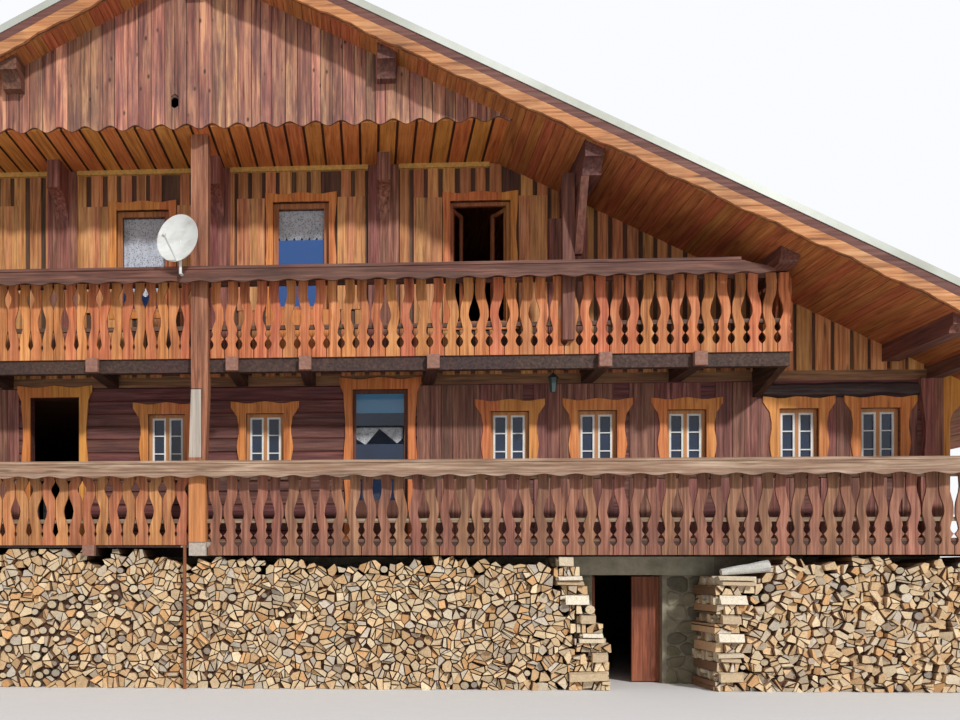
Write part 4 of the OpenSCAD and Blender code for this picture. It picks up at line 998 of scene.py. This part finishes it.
def fill_stack(split, rounds, u0, u1, limits, top, rng, round_share):
    """Log ends between u0 and u1, where limits(z) gives the ends of the row at a height, and top(u) the
    height of the stack at a place"""
    kept = []
    for outline in cells(u0, u1, 0.0, stack_h + 0.13, pitch=0.132, gap=0.008, jitter=0.47, rng=rng,
                         stretch=1.08):
        u, z = centre_of(outline)
        crest, cap = top(u)
        if z > crest:
            continue
        outline = clipped(outline, 0, cap, 0, 1, 0)
        low, high = limits(z)
        for px, nx in ((low, -1), (high, 1)):
            if len(outline) >= 3:
                outline = clipped(outline, px, 0, nx, 0, 0)
        kept.append(outline)
    log_cells(split, rounds, kept, rng, round_share)


def add_long_log(long, rng, a, b, d0, d1, z0, z1, lean):
    """A split log along the wall from a to b, in the depth d0 to d1, that leans by a slope"""
    middle = (a + b) / 2

    def leaning(d, u, z):
        return (u, fret_y + d, z + lean * (u - middle))

    wide = d1 - d0
    high = z1 - z0
    kind = rng.random()
    if kind < 0.4:
        shape = [(d0, z0 + rng.uniform(0, 0.2) * high), (d1, z0), (d0 + wide * rng.uniform(0.3, 0.7), z1)]
    elif kind < 0.75:
        shape = [(d0, z0), (d1, z0 + rng.uniform(0, 0.3) * high), (d1 - wide * rng.uniform(0, 0.3), z1),
                 (d0 + wide * rng.uniform(0, 0.3), z1 - rng.uniform(0, 0.25) * high)]
    else:
        shape = [(d0, z0), (d1, z0), (d1, z0 + 0.6 * high), (d0 + 0.6 * wide, z1), (d0, z0 + 0.8 * high)]
    long.plate(leaning, shape, a, b)


def cross_stack(split, rounds, long, lines, free, reach, side, rng):
    """Courses at a free end: by turns log ends, and logs laid along the wall; side is 1 where the end is
    on the right"""
    for i in range(lines):
        z0 = i * course_h
        z1 = z0 + course_h
        a, b = sorted((free(i) - side * reach[i], free(i)))
        if i % 2 == 0:
            outlines = cells(a, b, z0 + 0.003, z1, pitch=0.115, gap=0.01, jitter=0.35, rng=rng)
            log_cells(split, rounds, outlines, rng, few_rounds)
            continue
        depth = 0.0
        while depth < end_depth:
            wide = rng.uniform(0.09, 0.15)
            layers = rng.choice((1, 1, 2))
            for k in range(layers):
                low = z0 + (z1 - z0) * k / layers
                high = z0 + (z1 - z0) * (k + 1) / layers
                u0 = a + rng.uniform(0.0, 0.09)
                u1 = b - rng.uniform(0.0, 0.09)
                lean = rng.uniform(-0.045, 0.045)
                add_long_log(long, rng, u0, u1, depth + 0.004, depth + wide - 0.006, low + 0.003,
                             high - 0.002, lean)
            depth += wide


def few_rounds(u, z):
    """Share of round logs outside the grey patch"""
    return 0.05


def grey_patch(u, z):
    """Share of round grey logs, largest in the middle of the left stack"""
    return 0.04 + 0.3 * math.exp(-((u + 2.3) / 1.7) ** 2 - ((z - 1.0) / 0.55) ** 2)


def lumpy(u):
    """Unevenness of the top of a stack"""
    return 0.035 * math.sin(2.1 * u) + 0.03 * math.sin(5.3 * u + 1) + 0.02 * math.sin(17.0 * u)


def left_top(u):
    """Highest middle of a log, and the height that no log passes; between the joists they lie higher"""
    if u > pole_x:
        return stack_h - 0.07 + lumpy(u), stack_h + 0.015
    if min(abs(u - x) for x in joist_xs) < 0.14:
        return stack_h - 0.08, stack_h + 0.01
    return stack_h + 0.06 + 0.6 * lumpy(u), stack_h + 0.13


def right_top(u):
    """The same for the right stack, which is lower at its free end"""
    if u < low_end_x:
        return stack_h - 0.3, stack_h - 0.19
    return stack_h - (0.02 if u > half_w - 0.2 else 0.08 - lumpy(u)), stack_h + 0.015


def add_branch(shapes, start, end, r0, r1, rng, sides=12, steps=5):
    """A round log with an uneven bark outline between two points"""
    start = Vector(start)
    end = Vector(end)
    axis = (end - start).normalized()
    across = axis.orthogonal().normalized()
    up = axis.cross(across)
    rings = []
    for k in range(steps + 1):
        t = k / steps
        centre = start.lerp(end, t)
        rings.append([])
        for i in range(sides):
            a = 2 * math.pi * i / sides
            r = (r0 + (r1 - r0) * t) * rng.uniform(0.93, 1.05)
            rings[-1].append(tuple(centre + r * (math.cos(a) * across + math.sin(a) * up)))
    points, ends, faces = loft(rings)
    shapes.add(points, ends + faces)


def stack(name, rng, u0, u1, limits, top, round_share, lines, free, reach, side):
    """The log ends of one stack between u0 and u1, and the courses at its free end"""
    split = Shapes()
    rounds = Shapes()
    long = Shapes()
    fill_stack(split, rounds, u0, u1, limits, top, rng, round_share)
    cross_stack(split, rounds, long, lines, free, reach, side, rng)
    split.piece(f"firewood_{name}", "firewood", cut_ends, replaces=[f"woodpile_{name}"])
    rounds.piece(f"firewood_{name}_rounds", "firewood", grey_rounds)
    long.piece(f"firewood_{name}_end", "firewood", split_faces)


def hind_row(name, u0, u1):
    """The logs behind the front row, seen only through its gaps"""
    shapes = Shapes()
    shapes.box(on_stack, u0, u1, *hind_depths, 0.0, stack_h - 0.26)
    shapes.piece(f"firewood_{name}_hind_row", "firewood", brown_bark)


def left_stack(rng):
    """The stack left of the doorway, whose free end recedes upwards"""
    reach = [rng.uniform(0.3, 0.62) for i in range(courses)]

    def free(i):
        return door_x0 + 0.03 - max(0, i - 4) * 0.055

    def limits(z):
        i = min(courses - 1, int(z / course_h))
        return -gallery_x, free(i) - reach[i] - 0.008

    stack("left", rng, -gallery_x, door_x0, limits, left_top, grey_patch, courses, free, reach, 1)
    hind_row("left", -gallery_x + 0.03, door_x0 - 1.15)


def right_stack(rng):
    """The stack right of the doorway, with a branch on top of its low end"""
    reach = [rng.uniform(0.35, 0.7) for i in range(courses)]
    lines = courses - 2
    branch_z = lines * course_h

    def free(i):
        return right_stack_x + 0.02 * (i % 3)

    def limits(z):
        i = int(z / course_h)
        return (free(i) + reach[i] + 0.008 if i < lines else right_stack_x + 0.04), gallery_x

    stack("right", rng, right_stack_x, gallery_x, limits, right_top, few_rounds, lines, free, reach, -1)
    hind_row("right", low_end_x, gallery_x - 0.03)
    shapes = Shapes()
    add_branch(shapes, (right_stack_x + 0.1, fret_y + 0.1, branch_z + 0.055),
               (right_stack_x + 0.78, fret_y + 0.12, branch_z + 0.15), 0.05, 0.09, rng)
    shapes.piece("bark_log", "firewood", grey_bark)


stack_rng = random.Random(23)
left_stack(stack_rng)
right_stack(stack_rng)


# Windows: white sashes inside the frames, and lace behind some of the panes
def add_sash(shapes, place, u0, u1, z0, z1):
    """A sash with two glazing bars"""
    member = 0.03
    bar = 0.018
    d0 = frame_set + 0.004
    d1 = frame_set + 0.034
    left = u0 + member
    right = u1 - member
    shapes.ring(place, (u0, u1, z0, z1), (left, right, z0 + member, z1 - member), d0, d1)
    for i in (1, 2):
        z = z0 + (z1 - z0) * i / 3
        shapes.box(place, left, right, d0 + 0.004, d1 - 0.004, z - bar / 2, z + bar / 2)


def sashes(name, openings):
    """Two sashes in each of the openings"""
    shapes = Shapes()
    for wall, u, width, sill, head in openings:
        pane = (width - 3 * frame_w) / 2
        low = sill + frame_w
        high = head - frame_w
        for side in (-1, 1):
            middle = u + side * (pane + frame_w) / 2
            add_sash(shapes, walls[wall], middle - pane / 2, middle + pane / 2, low, high)
    shapes.piece(name, "frame_wood", white_paint)


def lace_curtain(name, u0, u1, z0, z1, hem):
    """A gathered net behind the glass; hem gives, as (share of the width, share of the length) points,
    how far it hangs down"""
    points = []
    depth = front_y + frame_set + 0.11
    for j in range(lace_rows + 1):
        t = j / lace_rows
        for i in range(lace_columns + 1):
            share = i / lace_columns
            (s0, h0), (s1, h1) = next(pair for pair in zip(hem, hem[1:]) if share <= pair[1][0] + 1e-9)
            drop = h0 + (h1 - h0) * (share - s0) / (s1 - s0)
            fold = 0.011 * math.sin(2 * math.pi * share * lace_columns / 6) * (0.6 + 0.4 * t)
            points.append((u0 + (u1 - u0) * share, depth + fold, z1 + (z0 - z1) * t * drop))
    width = lace_columns + 1
    faces = [[j * width + i, j * width + i + 1, (j + 1) * width + i + 1, (j + 1) * width + i]
             for j in range(lace_rows) for i in range(lace_columns)]
    mesh = bpy.data.meshes.new(name)
    mesh.from_pydata(points, [], faces)
    mesh.materials.append(lace_net)
    for polygon in mesh.polygons:
        polygon.use_smooth = True
    piece = placed(name, mesh)
    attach(piece, "root")


def scallops(count, depth):
    """Hem with round lobes"""
    steps = 6 * count
    lobes = [abs(math.sin(math.pi * count * i / steps)) for i in range(steps + 1)]
    return [(i / steps, 1.0 - depth * (1 - lobe)) for i, lobe in enumerate(lobes)]


def lace_for(opening, name, low, hem):
    """Lace over the whole width of an attic window"""
    wall, u, width, sill, head = opening
    reach = width / 2 - attic_frame_w
    lace_curtain(name, u - reach, u + reach, low, head - attic_frame_w, hem)


lace_columns = 36
lace_rows = 14
flag_left = 2.24
flag_right = 2.98
flag_hem = [(0.0, 0.65), (0.2, 1.0), (0.5, 0.06), (0.88, 0.92), (1.0, 0.65)]
sashes("front_sashes", middle_windows)
sashes("side_and_back_sashes", back_windows + back_upper_windows + side_windows)
lace_curtain("door_lace", flag_left, flag_right, flag_low, flag_top, flag_hem)
lace_for(left_window, "left_attic_lace", upper_sill + 0.3, scallops(5, 0.06))
lace_for(right_window, "right_attic_lace", lace_low - 0.01, scallops(6, 0.16))

# Light, floor and background
sun_direction = Vector((0.45, -1, 0.63))
sun_data = bpy.data.lights.new("sun", "SUN")
sun_data.energy = 2.4
sun_data.angle = math.radians(4)
sun = placed("sun", sun_data)
sun.rotation_euler = sun_direction.to_track_quat("Z", "Y").to_euler()

world = bpy.data.worlds.new("world")
bpy.context.scene.world = world
world.use_nodes = True
tree = world.node_tree


def world_node(kind, *outputs):
    """A node of the background, with its first inputs linked"""
    made = tree.nodes.new(kind)
    for socket, output in zip(made.inputs, outputs):
        tree.links.new(output, socket)
    return made


def larger(a, b):
    made = world_node("ShaderNodeMath", a, b)
    made.operation = "MAXIMUM"
    return made.outputs[0]


sky = tree.nodes["Background"]
sky.inputs["Color"].default_value = (0.9, 0.93, 1.0, 1.0)
sky.inputs["Strength"].default_value = 0.6
white = world_node("ShaderNodeBackground")
white.inputs["Color"].default_value = (0.96, 0.97, 1.0, 1.0)
rays = world_node("ShaderNodeLightPath").outputs
seen = larger(rays["Is Camera Ray"], larger(rays["Is Glossy Ray"], rays["Is Transmission Ray"]))
choice = world_node("ShaderNodeMixShader", seen, sky.outputs[0], white.outputs[0])
tree.links.new(choice.outputs[0], tree.nodes["World Output"].inputs["Surface"])

floor_reach = 90.0
floor_paint = Paint("floor_paint")
grit = floor_paint.noise(floor_paint.coords, (3.0, 3.0, 3.0), 6.0, 0.7)
floor_tone = floor_paint.mix(grit, (230, 229, 226), (238, 237, 234))
floor_paint.finish(floor_tone, floor_paint.ranged(grit, 0.3, 0.7, 0.95, 0.85), 0.1, grit)
floor_mesh = bpy.data.meshes.new("floor")
corners = [(x * floor_reach, y * floor_reach, 0) for x, y in ((-1, -1), (1, -1), (1, 1), (-1, 1))]
floor_mesh.from_pydata(corners, [], [[0, 1, 2, 3]])
floor_mesh.materials.append(floor_paint.material)
floor = placed("floor", floor_mesh)

bpy.context.scene.view_settings.view_transform = "Standard"
